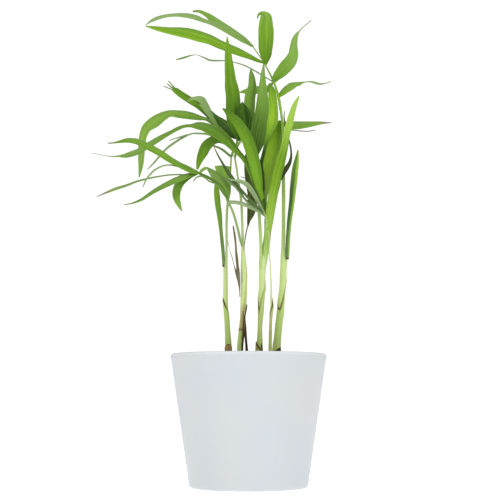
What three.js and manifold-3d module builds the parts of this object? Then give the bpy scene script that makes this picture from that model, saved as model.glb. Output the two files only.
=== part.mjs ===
// A young parlour palm of five seedlings in a plain tapered ceramic pot.
// Millimetres, +Z up. The origin is the centre of the pot's flat underside, and -Y is the front.
import * as THREE from "three";
import { mergeVertices } from "three/addons/utils/BufferGeometryUtils.js";
import Module from "manifold-3d";

const wasm = await Module();
wasm.setup();

// ---- Driving dimensions -------------------------------------------------------------------
const POT_HEIGHT = 83;
const RIM_RADIUS = 49.2;
const BASE_RADIUS = 37;
const WALL = 4;
const LIP_ROUND = 2;
const FOOT_ROUND = 2.5;
const POT_SIDES = 56;

const GAP = 0.3;
const SOIL_DEPTH_BELOW_RIM = 10;
const SOIL_SIDES = 48;
const SOIL_BUMP = 0.9;
const PLANTED_DEPTH = 25;
const SOIL_TOP = POT_HEIGHT - SOIL_DEPTH_BELOW_RIM;
const STEM_FOOT = SOIL_TOP - PLANTED_DEPTH;

const LEAF_THICKNESS = 0.7;
const LEAF_BASE_WIDTH = 1.3;
const LEAF_TIP_WIDTH = 0.8;
const LEAF_FOLD = 0.12;
const TIP_FULLNESS = 0.8;
const SPEAR_FOLD = 0.45;
const STEPS_PER_SPAN = 2;
const STEM_SIDES = 8;
const STALK_SIDES = 6;
const SCALE_THICKNESS = 0.6;

const FRONT = new THREE.Vector3(0, -1, 0);

// ---- Materials ----------------------------------------------------------------------------
const matte = (color, roughness) => new THREE.MeshStandardMaterial({ color, roughness, metalness: 0 });
const material = {
  ceramic: matte(0xe9ebec, 0.45),
  soil: matte(0x3a2a1d, 0.95),
  stem: matte(0x9dbb62, 0.5),
  leaf: matte(0x5b962d, 0.45),
  youngLeaf: matte(0x86b62e, 0.42),
  silverLeaf: matte(0x9fb08c, 0.5),
  dry: matte(0x8b6a3d, 0.85),
  dead: matte(0x3d3720, 0.8),
};

// ---- Solids and meshes --------------------------------------------------------------------
/** Turns a closed three.js geometry into a solid that can be added to or cut. */
function toSolid(geometry) {
  const bare = new THREE.BufferGeometry();
  bare.setAttribute("position", geometry.getAttribute("position"));
  bare.setIndex(geometry.getIndex());
  const welded = mergeVertices(bare, 1e-4);
  return new wasm.Manifold(new wasm.Mesh({
    numProp: 3,
    vertProperties: new Float32Array(welded.getAttribute("position").array),
    triVerts: new Uint32Array(welded.getIndex().array),
  }));
}

/** Turns a solid back into a geometry with normals. */
function toGeometry(solid) {
  const mesh = solid.getMesh();
  const geometry = new THREE.BufferGeometry();
  geometry.setAttribute("position", new THREE.BufferAttribute(new Float32Array(mesh.vertProperties), 3));
  geometry.setIndex(new THREE.BufferAttribute(new Uint32Array(mesh.triVerts), 1));
  geometry.computeVertexNormals();
  return geometry;
}

const fuse = (solids) => solids.reduce((whole, next) => whole.add(next));

function named(name, geometry, surface) {
  const mesh = new THREE.Mesh(geometry, surface);
  mesh.name = name;
  return mesh;
}

/** Closes a tube of equal rings of points, listed from its first end to its last. */
function closedRings(rings, capTriangles) {
  const count = rings[0].length;
  const positions = rings.flat().flatMap((point) => [point.x, point.y, point.z]);
  const index = [];
  for (let ring = 0; ring + 1 < rings.length; ring += 1) {
    for (let side = 0; side < count; side += 1) {
      const a = ring * count + side;
      const b = ring * count + ((side + 1) % count);
      index.push(a, b, a + count, b, b + count, a + count);
    }
  }
  const last = (rings.length - 1) * count;
  for (const [a, b, c] of capTriangles) {
    index.push(c, b, a, last + a, last + b, last + c);
  }
  const geometry = new THREE.BufferGeometry();
  geometry.setAttribute("position", new THREE.Float32BufferAttribute(positions, 3));
  geometry.setIndex(index);
  return geometry;
}

/** The smooth curve through hand-placed points, and its directions at a share of the way. */
function route(points) {
  const corners = points.map(([x, y, z]) => new THREE.Vector3(x, y, z));
  return new THREE.CatmullRomCurve3(corners, false, "centripetal");
}

function directions(curve, share) {
  const along = curve.getTangent(share);
  const side = new THREE.Vector3().crossVectors(along, FRONT).normalize();
  const face = new THREE.Vector3().crossVectors(side, along);
  return { along, side, face };
}

// ---- Stems and leaves ---------------------------------------------------------------------
/** A stem, petiole or rachis: points are [x, y, z, radius] from its foot to its end. */
function stalk(points, sides = STALK_SIDES) {
  const curve = route(points);
  const spans = points.length - 1;
  const rings = [];
  for (let step = 0; step <= spans * STEPS_PER_SPAN; step += 1) {
    const share = step / (spans * STEPS_PER_SPAN);
    const span = Math.min(Math.floor(share * spans), spans - 1);
    const radius = THREE.MathUtils.lerp(points[span][3], points[span + 1][3], share * spans - span);
    const centre = curve.getPoint(share);
    const { side, face } = directions(curve, share);
    const ring = [];
    for (let corner = 0; corner < sides; corner += 1) {
      const angle = (2 * Math.PI * corner) / sides;
      ring.push(centre.clone()
        .addScaledVector(side, -radius * Math.cos(angle))
        .addScaledVector(face, radius * Math.sin(angle)));
    }
    rings.push(ring);
  }
  const fan = Array.from({ length: sides - 2 }, (_, corner) => [0, corner + 1, corner + 2]);
  return toSolid(closedRings(rings, fan));
}

/** Half of a leaf's width at a share of its length: from `base` up to `width` and down to `tip`. */
function halfWidth(share, { width, widest = 0.5, base = LEAF_BASE_WIDTH, tip = LEAF_TIP_WIDTH }) {
  if (share < widest) {
    const rise = Math.sin((Math.PI / 2) * (share / widest));
    return 0.5 * THREE.MathUtils.lerp(base, width, rise);
  }
  const fall = Math.cos((Math.PI / 2) * ((share - widest) / (1 - widest)));
  return 0.5 * THREE.MathUtils.lerp(tip, width, fall ** TIP_FULLNESS);
}

/**
 * A leaflet: a thin closed blade along its line, creased along its middle.
 * Its turn rolls the upper face about the line, in degrees from facing the front, and its
 * twist is added to that by the tip.
 */
function blade(leaflet) {
  const { line, turn = 0, twist = 0, fold = LEAF_FOLD } = leaflet;
  const curve = route(line);
  const count = (line.length - 1) * STEPS_PER_SPAN;
  const rings = [];
  for (let step = 0; step <= count; step += 1) {
    const share = step / count;
    const centre = curve.getPoint(share);
    const { side, face } = directions(curve, share);
    const roll = THREE.MathUtils.degToRad(turn + twist * share);
    const normal = face.clone().multiplyScalar(Math.cos(roll)).addScaledVector(side, Math.sin(roll));
    const across = side.clone().multiplyScalar(Math.cos(roll)).addScaledVector(face, -Math.sin(roll));
    const half = halfWidth(share, leaflet);
    const at = (offset, height) => centre.clone()
      .addScaledVector(across, offset)
      .addScaledVector(normal, height);
    const top = LEAF_THICKNESS / 2;
    const drop = 2 * half * fold;
    rings.push([
      at(-half, top - drop), at(0, top), at(half, top - drop),
      at(half, -top - drop), at(0, -top), at(-half, -top - drop),
    ]);
  }
  return toSolid(closedRings(rings, [[0, 1, 4], [0, 4, 5], [1, 2, 3], [1, 3, 4]]));
}

/** A frond: its stalk and its leaflets fused into one body. */
function frond(points, leaflets) {
  return toGeometry(fuse([stalk(points), ...leaflets.map(blade)]));
}

// ---- Pot and soil -------------------------------------------------------------------------
/** A turned solid from [radius, height] points, standing on z = 0 along +Z. */
function turned(profile, sides) {
  const points = profile.map(([radius, height]) => new THREE.Vector2(radius, height));
  const geometry = new THREE.LatheGeometry(points, sides);
  geometry.rotateX(Math.PI / 2);
  return geometry;
}

/** Points on a rounded corner about a centre, from one angle to another, in degrees. */
function corner(radius, height, round, from, to, count = 4) {
  return Array.from({ length: count + 1 }, (_, step) => {
    const angle = THREE.MathUtils.degToRad(THREE.MathUtils.lerp(from, to, step / count));
    return [radius + round * Math.cos(angle), height + round * Math.sin(angle)];
  });
}

/** The pot's outer radius at a height: its wall is a straight taper. */
const outerRadius = (height) => THREE.MathUtils.lerp(BASE_RADIUS, RIM_RADIUS, height / POT_HEIGHT);
const innerRadius = (height) => outerRadius(height) - WALL;

function pot() {
  const profile = [
    [0, 0],
    ...corner(outerRadius(FOOT_ROUND) - FOOT_ROUND, FOOT_ROUND, FOOT_ROUND, -90, 0),
    ...corner(outerRadius(POT_HEIGHT) - LIP_ROUND, POT_HEIGHT - LIP_ROUND, LIP_ROUND, 0, 180, 6),
    ...corner(innerRadius(WALL) - FOOT_ROUND, WALL + FOOT_ROUND, FOOT_ROUND, 0, -90),
    [0, WALL],
  ];
  return toGeometry(toSolid(turned(profile, POT_SIDES)));
}

/** How far the soil rises above its level at a place: low even lumps that fade at the edge. */
function lump(x, y) {
  const fade = 1 - (Math.hypot(x, y) / innerRadius(SOIL_TOP)) ** 2;
  return SOIL_BUMP * fade * (Math.sin(x * 0.31 + 1) * Math.cos(y * 0.27) + 0.4 * Math.sin(x * 0.7 - y * 0.55));
}

function soil(feet) {
  const low = WALL + FOOT_ROUND + GAP;
  const rings = [0.85, 0.68, 0.5, 0.32, 0.15];
  const profile = [
    [0, low],
    [innerRadius(low) - FOOT_ROUND, low],
    [innerRadius(low) - GAP, low + FOOT_ROUND],
    [innerRadius(SOIL_TOP) - GAP, SOIL_TOP],
    ...rings.map((share) => [share * innerRadius(SOIL_TOP), SOIL_TOP]),
    [0, SOIL_TOP],
  ];
  const body = turned(profile, SOIL_SIDES);
  const places = body.getAttribute("position");
  for (let vertex = 0; vertex < places.count; vertex += 1) {
    if (places.getZ(vertex) > SOIL_TOP - GAP) {
      places.setZ(vertex, SOIL_TOP + lump(places.getX(vertex), places.getY(vertex)));
    }
  }
  const hole = ([x, y, , radius]) => {
    const depth = PLANTED_DEPTH + GAP + 4 * SOIL_BUMP;
    const cutter = new THREE.CylinderGeometry(radius + GAP, radius + GAP, depth, 16);
    cutter.rotateX(Math.PI / 2);
    cutter.translate(x, y, STEM_FOOT - GAP + depth / 2);
    return toSolid(cutter);
  };
  return toGeometry(feet.reduce((ground, foot) => ground.subtract(hole(foot)), toSolid(body)));
}

// ---- The five stems: [x, y, z, radius] upwards from where each leaves the soil -------------
const stems = {
  left: [
    [-13, 5, 85, 2], [-14.1, 5, 108, 1.7], [-14.5, 5, 130, 1.5], [-14.4, 5, 149, 1.2],
    [-13.5, 4, 175, 0.95], [-12, 2, 195, 0.8], [-11, 1, 209.5, 0.75],
  ],
  inner: [
    [-5.5, -5, 84.5, 1.7], [-4.5, -5, 99.5, 1.3], [-3.5, -5, 114.5, 2.1], [-3, -5, 134.5, 2.1],
    [-4, -5, 148.5, 1.2], [-4, -5, 171, 0.95], [-5.5, -5, 187, 0.75], [-8.5, -5, 207.5, 0.7],
  ],
  centre: [
    [6.9, 1, 85, 1.9], [7.3, 1, 101, 1.6], [8, 1, 120.5, 2.2], [8.9, 1, 139.5, 2.8],
  ],
  thin: [
    [13.5, -7, 84.5, 0.9], [14.2, -7, 105, 0.95], [14.6, -7, 116.5, 0.75],
    [14, -7.5, 135.5, 0.55], [12.5, -8, 153, 0.55], [11.6, -8, 161.5, 0.55],
  ],
  right: [
    [18.3, 3, 85, 2.5], [19.7, 3, 104.5, 2.4], [21.3, 3, 118.5, 2.2], [22.6, 3, 139, 2.2],
    [22.6, 3, 151, 1.2], [22.5, 4, 175.5, 1], [22.5, 5, 194, 1],
  ],
};

/** A stem with its foot carried straight down into the soil. */
function plantedStem(points) {
  const [x, y, , radius] = points[0];
  return toGeometry(stalk([[x, y, STEM_FOOT, radius], ...points], STEM_SIDES));
}

// ---- Fronds: a stalk of [x, y, z, radius] points and the leaflets on it -------------------
const fronds = {
  leftFrond: {
    stalk: [[-11, 1, 210.2, 0.75], [-9.5, 2, 215.5, 0.8], [-7.5, 3, 219.5, 0.8], [-8, 4, 224.5, 0.7]],
    leaflets: [
      { line: [[-7, 4, 223], [-14, 13, 235], [-26, 18, 244], [-39.5, 22, 253.5], [-52, 24, 262]],
        width: 9, widest: 0.6, turn: 45 },
      { line: [[-9, 1.5, 217], [-18.5, -1, 228], [-24, -4, 237], [-29, -7, 245.5], [-34, -9, 246.5],
        [-39.5, -10, 244]],
        width: 9, widest: 0.55, turn: 53 },
      { line: [[-8.6, 2.8, 218], [-19.5, 8, 232], [-29, 14, 238], [-41.5, 20, 243.5], [-56, 25, 245],
        [-67.5, 27, 238.5], [-72, 27, 226], [-72, 26, 213], [-73.5, 25, 200.5]],
        width: 9, widest: 0.6, turn: 48 },
      { line: [[-10, 3.5, 217], [-17.5, 8, 223], [-26, 16, 228.5], [-39.5, 28, 231.5], [-54.5, 36, 224.5],
        [-69, 40, 209.5]],
        width: 4, widest: 0.4, turn: 67 },
      { line: [[-10, 2, 215.5], [-18, 6, 222.5], [-25.5, 10, 223.5], [-32, 15, 216], [-35, 18, 204]],
        width: 8, widest: 0.6, turn: 30 },
      { line: [[-11, 0.6, 211], [-17, -4, 214], [-23, -7, 215.5]], width: 1.6, turn: 38 },
    ],
  },
  innerFrond: {
    stalk: [[-8.6, -5, 208.3, 0.7], [-8, -4, 214, 0.75], [-5.5, -2, 219, 0.75], [-3.5, 0, 222.5, 0.7]],
    leaflets: [
      { line: [[-5.5, -1, 220], [-6.8, 0, 228.5], [-9.4, 1, 244], [-12, 1, 264], [-13.8, -1, 288.5]],
        width: 10, widest: 0.42, turn: 34 },
      { line: [[-4.5, 0, 221], [-2.5, 8, 233], [-3.5, 14, 249]], width: 7.5, widest: 0.6, turn: 32 },
      { line: [[-3.5, 0, 221.5], [-0.5, 4, 231.5], [1, 9, 246], [2.8, 13, 260.5], [2, 16, 272]],
        width: 8, turn: 38 },
    ],
  },
  lowFrond: {
    stalk: [[-4.8, -7.5, 152.5, 0.8], [-6, -10, 159.5, 0.9], [-10, -14, 171, 0.9], [-12.5, -17, 176.5, 0.9],
      [-16.5, -21, 185.5, 0.8], [-21, -24, 189, 0.8], [-24.5, -26, 191, 0.8], [-32, -30, 193.5, 0.8]],
    leaflets: [
      { line: [[-31.5, -30, 193.5], [-39, -34, 197.5], [-51, -38, 203.5], [-63, -41, 209], [-72.5, -42, 211],
        [-85.5, -42, 209.5]],
        width: 8.5, widest: 0.4, turn: 59 },
      { line: [[-31.5, -30, 193.5], [-44, -27, 193.5], [-61.5, -22, 192], [-77, -17, 188], [-96, -12, 181.5]],
        width: 4, turn: 67 },
      { line: [[-31.5, -30, 193], [-38.5, -36, 190.5], [-47.5, -42, 185.5], [-59.5, -48, 177.5],
        [-67.5, -50, 171.5], [-74.5, -51, 170]],
        width: 8, turn: 55 },
      { line: [[-32, -29.5, 193], [-39, -31, 189.5], [-44.5, -34, 182], [-44, -36, 175], [-41, -37, 168.5]],
        width: 8.5, turn: 50 },
      { line: [[-38, -33.5, 197], [-49, -40, 196.5], [-56, -46, 192.5], [-61, -50, 186.5], [-63.5, -52, 180.5]],
        width: 3.5, turn: 69 },
      { line: [[-22, -25, 189], [-27, -29, 189.5], [-31, -33, 190], [-34, -35, 186.5]], width: 4, turn: 62 },
      { line: [[-13.2, -17.5, 178.5], [-17.5, -15, 191], [-22, -12, 197.5], [-26.5, -9, 201]],
        width: 8.5, turn: 35 },
      { line: [[-12.8, -16.8, 177.5], [-14.5, -10, 189.5], [-16.5, -5, 202.5]], width: 10.5, widest: 0.8, tip: 9.5, turn: 10 },
    ],
  },
  tallFrond: {
    stalk: [[7.5, -1.5, 140.2, 0.95], [7.5, -2, 152, 0.95], [6.5, -2.5, 165, 0.95], [7, -3, 176.5, 0.95],
      [8, -3, 187.5, 0.9]],
    leaflets: [
      { line: [[7, -3.5, 177], [0.5, -9, 198], [-8.5, -13, 212], [-20.5, -17, 223], [-33, -20, 226.5],
        [-49.5, -22, 220.5], [-64.5, -22, 211.5], [-78, -21, 207], [-97.5, -19, 208]],
        width: 8, widest: 0.35, turn: 22, twist: 36 },
      { line: [[7.2, -3.5, 173], [7.5, -5, 187], [3.5, -12, 205], [-3, -20, 223], [-9, -25, 231],
        [-16, -28, 235]],
        width: 9.5, widest: 0.45, turn: 43 },
      { line: [[8, -3, 186.5], [5.5, 0, 207.5], [8.5, 4, 235], [10, 8, 256], [10, 10, 274]],
        width: 10, widest: 0.55, turn: 18 },
      { line: [[8.2, -3, 185], [7.5, -5, 206.5], [13.3, -11, 226], [16.4, -16, 240], [14.4, -20, 252]],
        width: 8, widest: 0.6, turn: 45 },
    ],
  },
  youngFrond: {
    stalk: [[10.3, 1, 140.1, 1.8], [11.4, 1, 152, 2.1], [12.4, 1, 162, 2], [12.8, 0.5, 173, 1.4]],
    leaflets: [
      { line: [[12.4, 1.2, 163], [11, 4, 188.5], [13.5, 8, 206], [17, 13, 222], [19, 16, 237]],
        width: 10, widest: 0.6, turn: 27 },
      { line: [[12.2, 0.2, 160], [13.5, -3, 176.5], [18, -8, 196], [23, -13, 216], [27.5, -17, 233],
        [32, -20, 244.5]],
        width: 7.5, widest: 0.35, base: 4.5, turn: 42 },
    ],
  },
  silverFrond: {
    stalk: [[11.5, -8, 162.2, 0.55], [11, -8.5, 169, 0.6], [9.5, -9, 171.5, 0.6]],
    leaflets: [
      { line: [[11, -8.5, 169], [-1, -12, 180], [-11, -17, 193.5], [-17.5, -21, 203.5], [-22, -24, 211.5]],
        width: 3.4, turn: 56 },
      { line: [[10.5, -8.5, 169.5], [5.5, -10, 181], [-2.5, -14, 190], [-12.5, -19, 192.5]],
        width: 3.6, turn: -28 },
      { line: [[10, -8.7, 170.5], [1, -12, 175.5], [-6.5, -16, 177], [-13, -21, 176]], width: 3.6, turn: 52 },
      { line: [[10, -8.7, 170.5], [0.5, -11.5, 179], [-6.5, -15, 187], [-14.5, -18.5, 192.5]],
        width: 3.6, turn: 52 },
    ],
  },
  topFrond: {
    stalk: [[22.5, 5, 194.7, 1], [22, 6, 212, 0.95], [21.5, 8, 236, 0.9], [20.5, 9, 246, 0.85],
      [18.5, 11, 255.5, 0.8], [15.5, 13, 265.5, 0.75], [11.5, 15, 274, 0.7], [6, 18, 283.5, 0.65],
      [2, 21, 290.5, 0.6]],
    leaflets: [
      { line: [[3, 20.5, 289], [-9.5, 27, 301.5], [-23, 33, 312.5], [-31.5, 36, 318.5], [-38.5, 37, 320]],
        width: 8.5, turn: 50 },
      { line: [[3, 20.2, 289], [-12.5, 19, 298.3], [-32.5, 15, 307.2], [-47, 11, 308.7], [-58.5, 8, 305.8],
        [-67.5, 6, 299.5]],
        width: 8, turn: 58 },
      { line: [[10, 15.8, 276.5], [-5.5, 13, 283.5], [-22.5, 10, 290], [-38.5, 7, 294.5], [-55, 5, 296.3],
        [-67.5, 4, 298]],
        width: 9.5, widest: 0.6, turn: 48 },
      { line: [[10.8, 15.4, 275.5], [11.6, 19, 288], [11.4, 24, 303], [11, 29, 312.5], [9, 32, 315.5],
        [6.8, 34, 315.2], [6, 35, 312.5]],
        width: 9.5, widest: 0.33, turn: 8 },
      { line: [[15.8, 13, 264], [22, 9, 269.5], [28, 4, 275], [30.5, -1, 285], [33.5, -4, 293],
        [40.5, -6, 299]],
        width: 9, widest: 0.25, turn: 30, twist: 25 },
      { line: [[19.3, 10.5, 252.7], [27, 16, 260.6], [35, 23, 265.5], [47, 32, 267], [56.5, 38, 270.5]],
        width: 8, widest: 0.35, turn: -59 },
      { line: [[16.5, 12.5, 262.5], [4, 18, 271.5], [-9, 24, 279], [-24, 30, 282.5], [-36, 34, 287.5],
        [-49, 38, 285.5]],
        width: 3, turn: 65 },
      { line: [[16.2, 12.7, 262.5], [10.5, 22, 261], [3, 32, 263], [-6, 42, 264]],
        width: 8, widest: 0.6, turn: 48 },
      { line: [[21.6, 7.9, 232], [30, 14, 234.5], [41, 21, 237], [55.5, 29, 239]],
        width: 7.5, widest: 0.3, turn: -47 },
      { line: [[21.6, 7.7, 230], [30, 4, 227.5], [40.5, 0, 226.5]], width: 1.4, turn: -57 },
    ],
  },
};

const spears = {
  left: { line: [[-15.6, 2.5, 139], [-16.5, 2, 159], [-18.5, 1, 177], [-20.2, 0, 190.5]],
    width: 4.2, widest: 0.75, turn: 29, fold: SPEAR_FOLD },
  right: { line: [[24.8, 0.2, 143.5], [26.5, -1, 162], [28.2, -2, 181], [30.8, -3, 199], [31.7, -4, 213.5]],
    width: 4.4, widest: 0.7, turn: 10, fold: SPEAR_FOLD },
};

// ---- Dry and dead pieces ------------------------------------------------------------------
const deadLeaf = {
  stalk: [[-2.4, -7.2, 150, 0.6], [-2, -7, 155, 0.6], [-1.2, -4, 161, 0.55], [0, 3, 166.5, 0.55]],
  leaflets: [
    { line: [[-0.2, 2.2, 165.5], [1.5, 5, 174.5], [2, 7, 186], [0, 8, 199.5], [-1.5, 8, 214.5]],
      width: 6, turn: 18 },
  ],
};

const drySpear = [
  { line: [[-5.3, -8, 119], [-6.5, -8.4, 134], [-8, -9, 149], [-9.5, -9.5, 163]], width: 2.6, widest: 0.3, turn: 31 },
  { line: [[-6.4, -8.5, 131], [-10.5, -10, 144], [-13.5, -11, 154]], width: 1, turn: 51 },
];

const splitSheath = [
  { line: [[-2, -7.7, 113], [-2.5, -8, 103.5], [-2, -8.4, 94.5], [-1, -8.6, 84]], width: 2.4, turn: 38 },
  { line: [[-2.5, -8, 105], [-3.5, -8.6, 94.5], [-3.5, -9, 83.5]], width: 1.4, turn: 44 },
];

const witheredLeaf = { line: [[22, 6.4, 240], [23, 4.5, 230.5], [25.4, 3, 220], [26.5, 1, 211],
  [24, 0, 202.5], [21.5, -0.5, 195]], width: 3.6, widest: 0.75, turn: 45 };

/** A dry scale wrapped round a stem's foot: a thin sleeve between two heights. */
function baseScale([x, y, , radius], low, high) {
  const inner = radius + GAP;
  const outer = inner + SCALE_THICKNESS;
  const geometry = turned([[inner, low], [outer, low], [outer, high], [inner, high], [inner, low]], 16);
  geometry.translate(x, y, 0);
  return toGeometry(toSolid(geometry));
}

// ---- The object ---------------------------------------------------------------------------
const group = new THREE.Group();
group.add(
  named("pot", pot(), material.ceramic),
  named("soil", soil(Object.values(stems).map(([foot]) => foot)), material.soil),
  named("stem_left", plantedStem(stems.left), material.stem),
  named("stem_inner", plantedStem(stems.inner), material.stem),
  named("stem_centre", plantedStem(stems.centre), material.stem),
  named("stem_thin", plantedStem(stems.thin), material.stem),
  named("stem_right", plantedStem(stems.right), material.stem),
  named("frond_left", frond(fronds.leftFrond.stalk, fronds.leftFrond.leaflets), material.leaf),
  named("frond_inner", frond(fronds.innerFrond.stalk, fronds.innerFrond.leaflets), material.leaf),
  named("frond_low", frond(fronds.lowFrond.stalk, fronds.lowFrond.leaflets), material.leaf),
  named("frond_tall", frond(fronds.tallFrond.stalk, fronds.tallFrond.leaflets), material.leaf),
  named("frond_young", frond(fronds.youngFrond.stalk, fronds.youngFrond.leaflets), material.youngLeaf),
  named("frond_silver", frond(fronds.silverFrond.stalk, fronds.silverFrond.leaflets), material.silverLeaf),
  named("frond_top", frond(fronds.topFrond.stalk, fronds.topFrond.leaflets), material.leaf),
  named("spear_left", toGeometry(blade(spears.left)), material.leaf),
  named("spear_right", toGeometry(blade(spears.right)), material.leaf),
  named("dead_leaf", frond(deadLeaf.stalk, deadLeaf.leaflets), material.dead),
  named("dry_spear", toGeometry(fuse(drySpear.map(blade))), material.dry),
  named("split_sheath", toGeometry(fuse(splitSheath.map(blade))), material.dry),
  named("withered_leaf", toGeometry(blade(witheredLeaf)), material.dead),
  named("base_scale_left", baseScale(stems.left[0], 77, 88), material.dry),
  named("base_scale_centre", baseScale(stems.centre[0], 77, 90), material.dry),
  named("base_scale_right", baseScale(stems.right[0], 77, 86), material.dry),
);

export default group;
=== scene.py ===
# %% [markdown]
# # A young parlour palm in a white pot
# Five seedlings of a parlour palm share one small ceramic pot. Each has a slender stem wrapped in
# the tubes of its old leaf bases, and its leaves are fronds: a thin stalk with narrow leaflets along it.
# The CAD part already has every stem, frond and the pot in its place. This lesson keeps those places
# and makes the surfaces finer: curved blades, veins, sheath edges, dry tips and a satin glaze.
# %% Set-up
import math

import bpy
import numpy as np
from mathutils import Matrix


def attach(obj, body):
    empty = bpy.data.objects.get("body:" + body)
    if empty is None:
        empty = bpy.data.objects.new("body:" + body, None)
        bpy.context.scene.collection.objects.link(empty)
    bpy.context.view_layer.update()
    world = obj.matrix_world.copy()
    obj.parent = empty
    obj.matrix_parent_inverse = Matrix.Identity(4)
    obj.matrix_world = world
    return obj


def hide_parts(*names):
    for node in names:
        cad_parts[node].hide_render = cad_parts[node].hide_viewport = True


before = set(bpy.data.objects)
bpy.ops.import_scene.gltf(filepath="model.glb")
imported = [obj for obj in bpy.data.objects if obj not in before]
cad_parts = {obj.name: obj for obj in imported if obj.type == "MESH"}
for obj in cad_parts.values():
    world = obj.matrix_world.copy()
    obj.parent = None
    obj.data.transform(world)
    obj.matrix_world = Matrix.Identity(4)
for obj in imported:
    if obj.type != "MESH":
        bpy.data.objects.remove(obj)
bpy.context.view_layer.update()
MM = 0.001

# %% [markdown]
# ## The camera
# The picture was taken from low down, about 75 cm away: the rim is seen from just underneath, so the
# soil is hidden. A long lens tilted up a little gives the same view without any sideways shift.
# %% Camera
EYE = (0.0009, -0.750, 0.055)
LOOK_UP = 7.15

lens = bpy.data.cameras.new("camera")
lens.lens = 85.2
lens.sensor_width = 36.0
lens.clip_start = 0.01
lens.clip_end = 50.0
camera = bpy.data.objects.new("camera", lens)
camera.location = EYE
camera.rotation_euler = (math.radians(90 + LOOK_UP), 0, 0)
bpy.context.scene.collection.objects.link(camera)
bpy.context.scene.camera = camera
print("camera", lens.lens, "mm lens, tilted up", LOOK_UP, "degrees")

# %% [markdown]
# ## Light and floor
# A white room lights the plant from everywhere. One large soft lamp on the left and a weaker one
# on the right give the leaves a light side and a shaded side, and a third shines from above. The
# plain colour transform is used, so that a colour painted here is nearly the colour seen.
# %% Light
scene = bpy.context.scene
scene.view_settings.view_transform = "Standard"


def node(tree, kind, inputs=None, **settings):
    """Adds a shader node, sets its settings, and fills each named input with a value or a link."""
    made = tree.nodes.new(kind)
    for key, value in settings.items():
        setattr(made, key, value)
    for key, value in (inputs or {}).items():
        if isinstance(value, bpy.types.NodeSocket):
            tree.links.new(value, made.inputs[key])
        else:
            made.inputs[key].default_value = value
    return made


room = bpy.data.worlds.new("white_room")
room.use_nodes = True
room.node_tree.nodes.clear()
backdrop = node(room.node_tree, "ShaderNodeBackground", {"Color": (1, 1, 1, 1), "Strength": 1.05})
fill = node(room.node_tree, "ShaderNodeBackground", {"Color": (0.96, 0.98, 1, 1), "Strength": 0.6})
seen = node(room.node_tree, "ShaderNodeLightPath")
either = node(room.node_tree, "ShaderNodeMixShader", {
    0: seen.outputs["Is Camera Ray"], 1: fill.outputs[0], 2: backdrop.outputs[0]})
node(room.node_tree, "ShaderNodeOutputWorld", {"Surface": either.outputs[0]})
scene.world = room


PLANT_MIDDLE = (0, 0, 0.17)


def lamp(name, place, size, power):
    """A square soft lamp that faces the middle of the plant."""
    light = bpy.data.lights.new(name, "AREA")
    light.size = size
    light.energy = power
    thing = bpy.data.objects.new(name, light)
    thing.location = place
    way = np.subtract(PLANT_MIDDLE, place)
    from_down = math.acos(-way[2] / np.linalg.norm(way))
    thing.rotation_euler = (from_down, 0, math.atan2(way[1], way[0]) - math.pi / 2)
    scene.collection.objects.link(thing)


lamp("key_lamp", place=(-0.6, -1.0, 0.8), size=0.8, power=4.4)
lamp("fill_lamp", place=(0.9, -0.85, 0.4), size=0.8, power=2.6)
lamp("top_lamp", place=(0.1, 0.2, 1.25), size=0.9, power=2.6)
print("one white room and three soft lamps")

# %% Floor
FLOOR_REACH = 4.0

floor_mesh = bpy.data.meshes.new("floor")
corners = [(x * FLOOR_REACH, y * FLOOR_REACH, 0) for x, y in ((-1, -1), (1, -1), (1, 1), (-1, 1))]
floor_mesh.from_pydata(corners, [], [(0, 1, 2, 3)])
floor = bpy.data.objects.new("floor", floor_mesh)
scene.collection.objects.link(floor)
paper = bpy.data.materials.new("white_paper")
paper.use_nodes = True
paper_values = {"Base Color": (0.9, 0.9, 0.9, 1), "Roughness": 0.9, "Specular IOR Level": 0.1,
                "Emission Color": (1, 1, 1, 1), "Emission Strength": 0.6}
for label, value in paper_values.items():
    paper.node_tree.nodes["Principled BSDF"].inputs[label].default_value = value
floor_mesh.materials.append(paper)
print("floor reaches", FLOOR_REACH, "m each way")

# %% [markdown]
# ## Reading places off the picture
# A young palm has no straight edge to lay a rule on. Its leaves and stems were read on the picture,
# 500 pixels wide. A reading is a point's column and row there, its depth in mm behind the pot's
# axis, judged from what covers what, and the width seen, in pixels. The camera's own numbers turn it
# into millimetres.
# %% Readings
PICTURE_WIDTH = 500
FOCAL = lens.lens / lens.sensor_width * PICTURE_WIDTH
EYE_MM = np.array(EYE) / MM
TILT = math.radians(LOOK_UP)
AHEAD = np.array([0, math.cos(TILT), math.sin(TILT)])
UPWARD = np.array([0, -math.sin(TILT), math.cos(TILT)])


def place_seen(column, row, depth):
    """The place in mm where the ray through a picture point reaches the depth."""
    sideways = (np.asarray(column) - PICTURE_WIDTH / 2) / FOCAL
    upright = (PICTURE_WIDTH / 2 - np.asarray(row)) / FOCAL
    ray = AHEAD + np.multiply.outer(sideways, [1, 0, 0]) + np.multiply.outer(upright, UPWARD)
    return EYE_MM + ray * ((depth - EYE_MM[1]) / ray[..., 1])[..., None]


def picture_point(places):
    """The column and row at which places in mm are seen."""
    away = places - EYE_MM
    off_axis = np.stack([away[..., 0], -away @ UPWARD], -1)
    return PICTURE_WIDTH / 2 + FOCAL * off_axis / (away @ AHEAD)[..., None]


def stem_line(readings, foot=None):
    """Rows of (x, y, z, radius) from readings up a stem, with an upright foot down to a height if wanted."""
    column, row, depth, width = np.array(readings, float).T
    rows = np.column_stack([place_seen(column, row, depth), 0.5 * width * (depth - EYE_MM[1]) / FOCAL])
    return rows if foot is None else np.vstack([[*rows[0, :2], foot, rows[0, 3]], rows])


print("at the pot's axis one pixel is", round(-EYE_MM[1] / FOCAL, 3), "mm")


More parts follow.
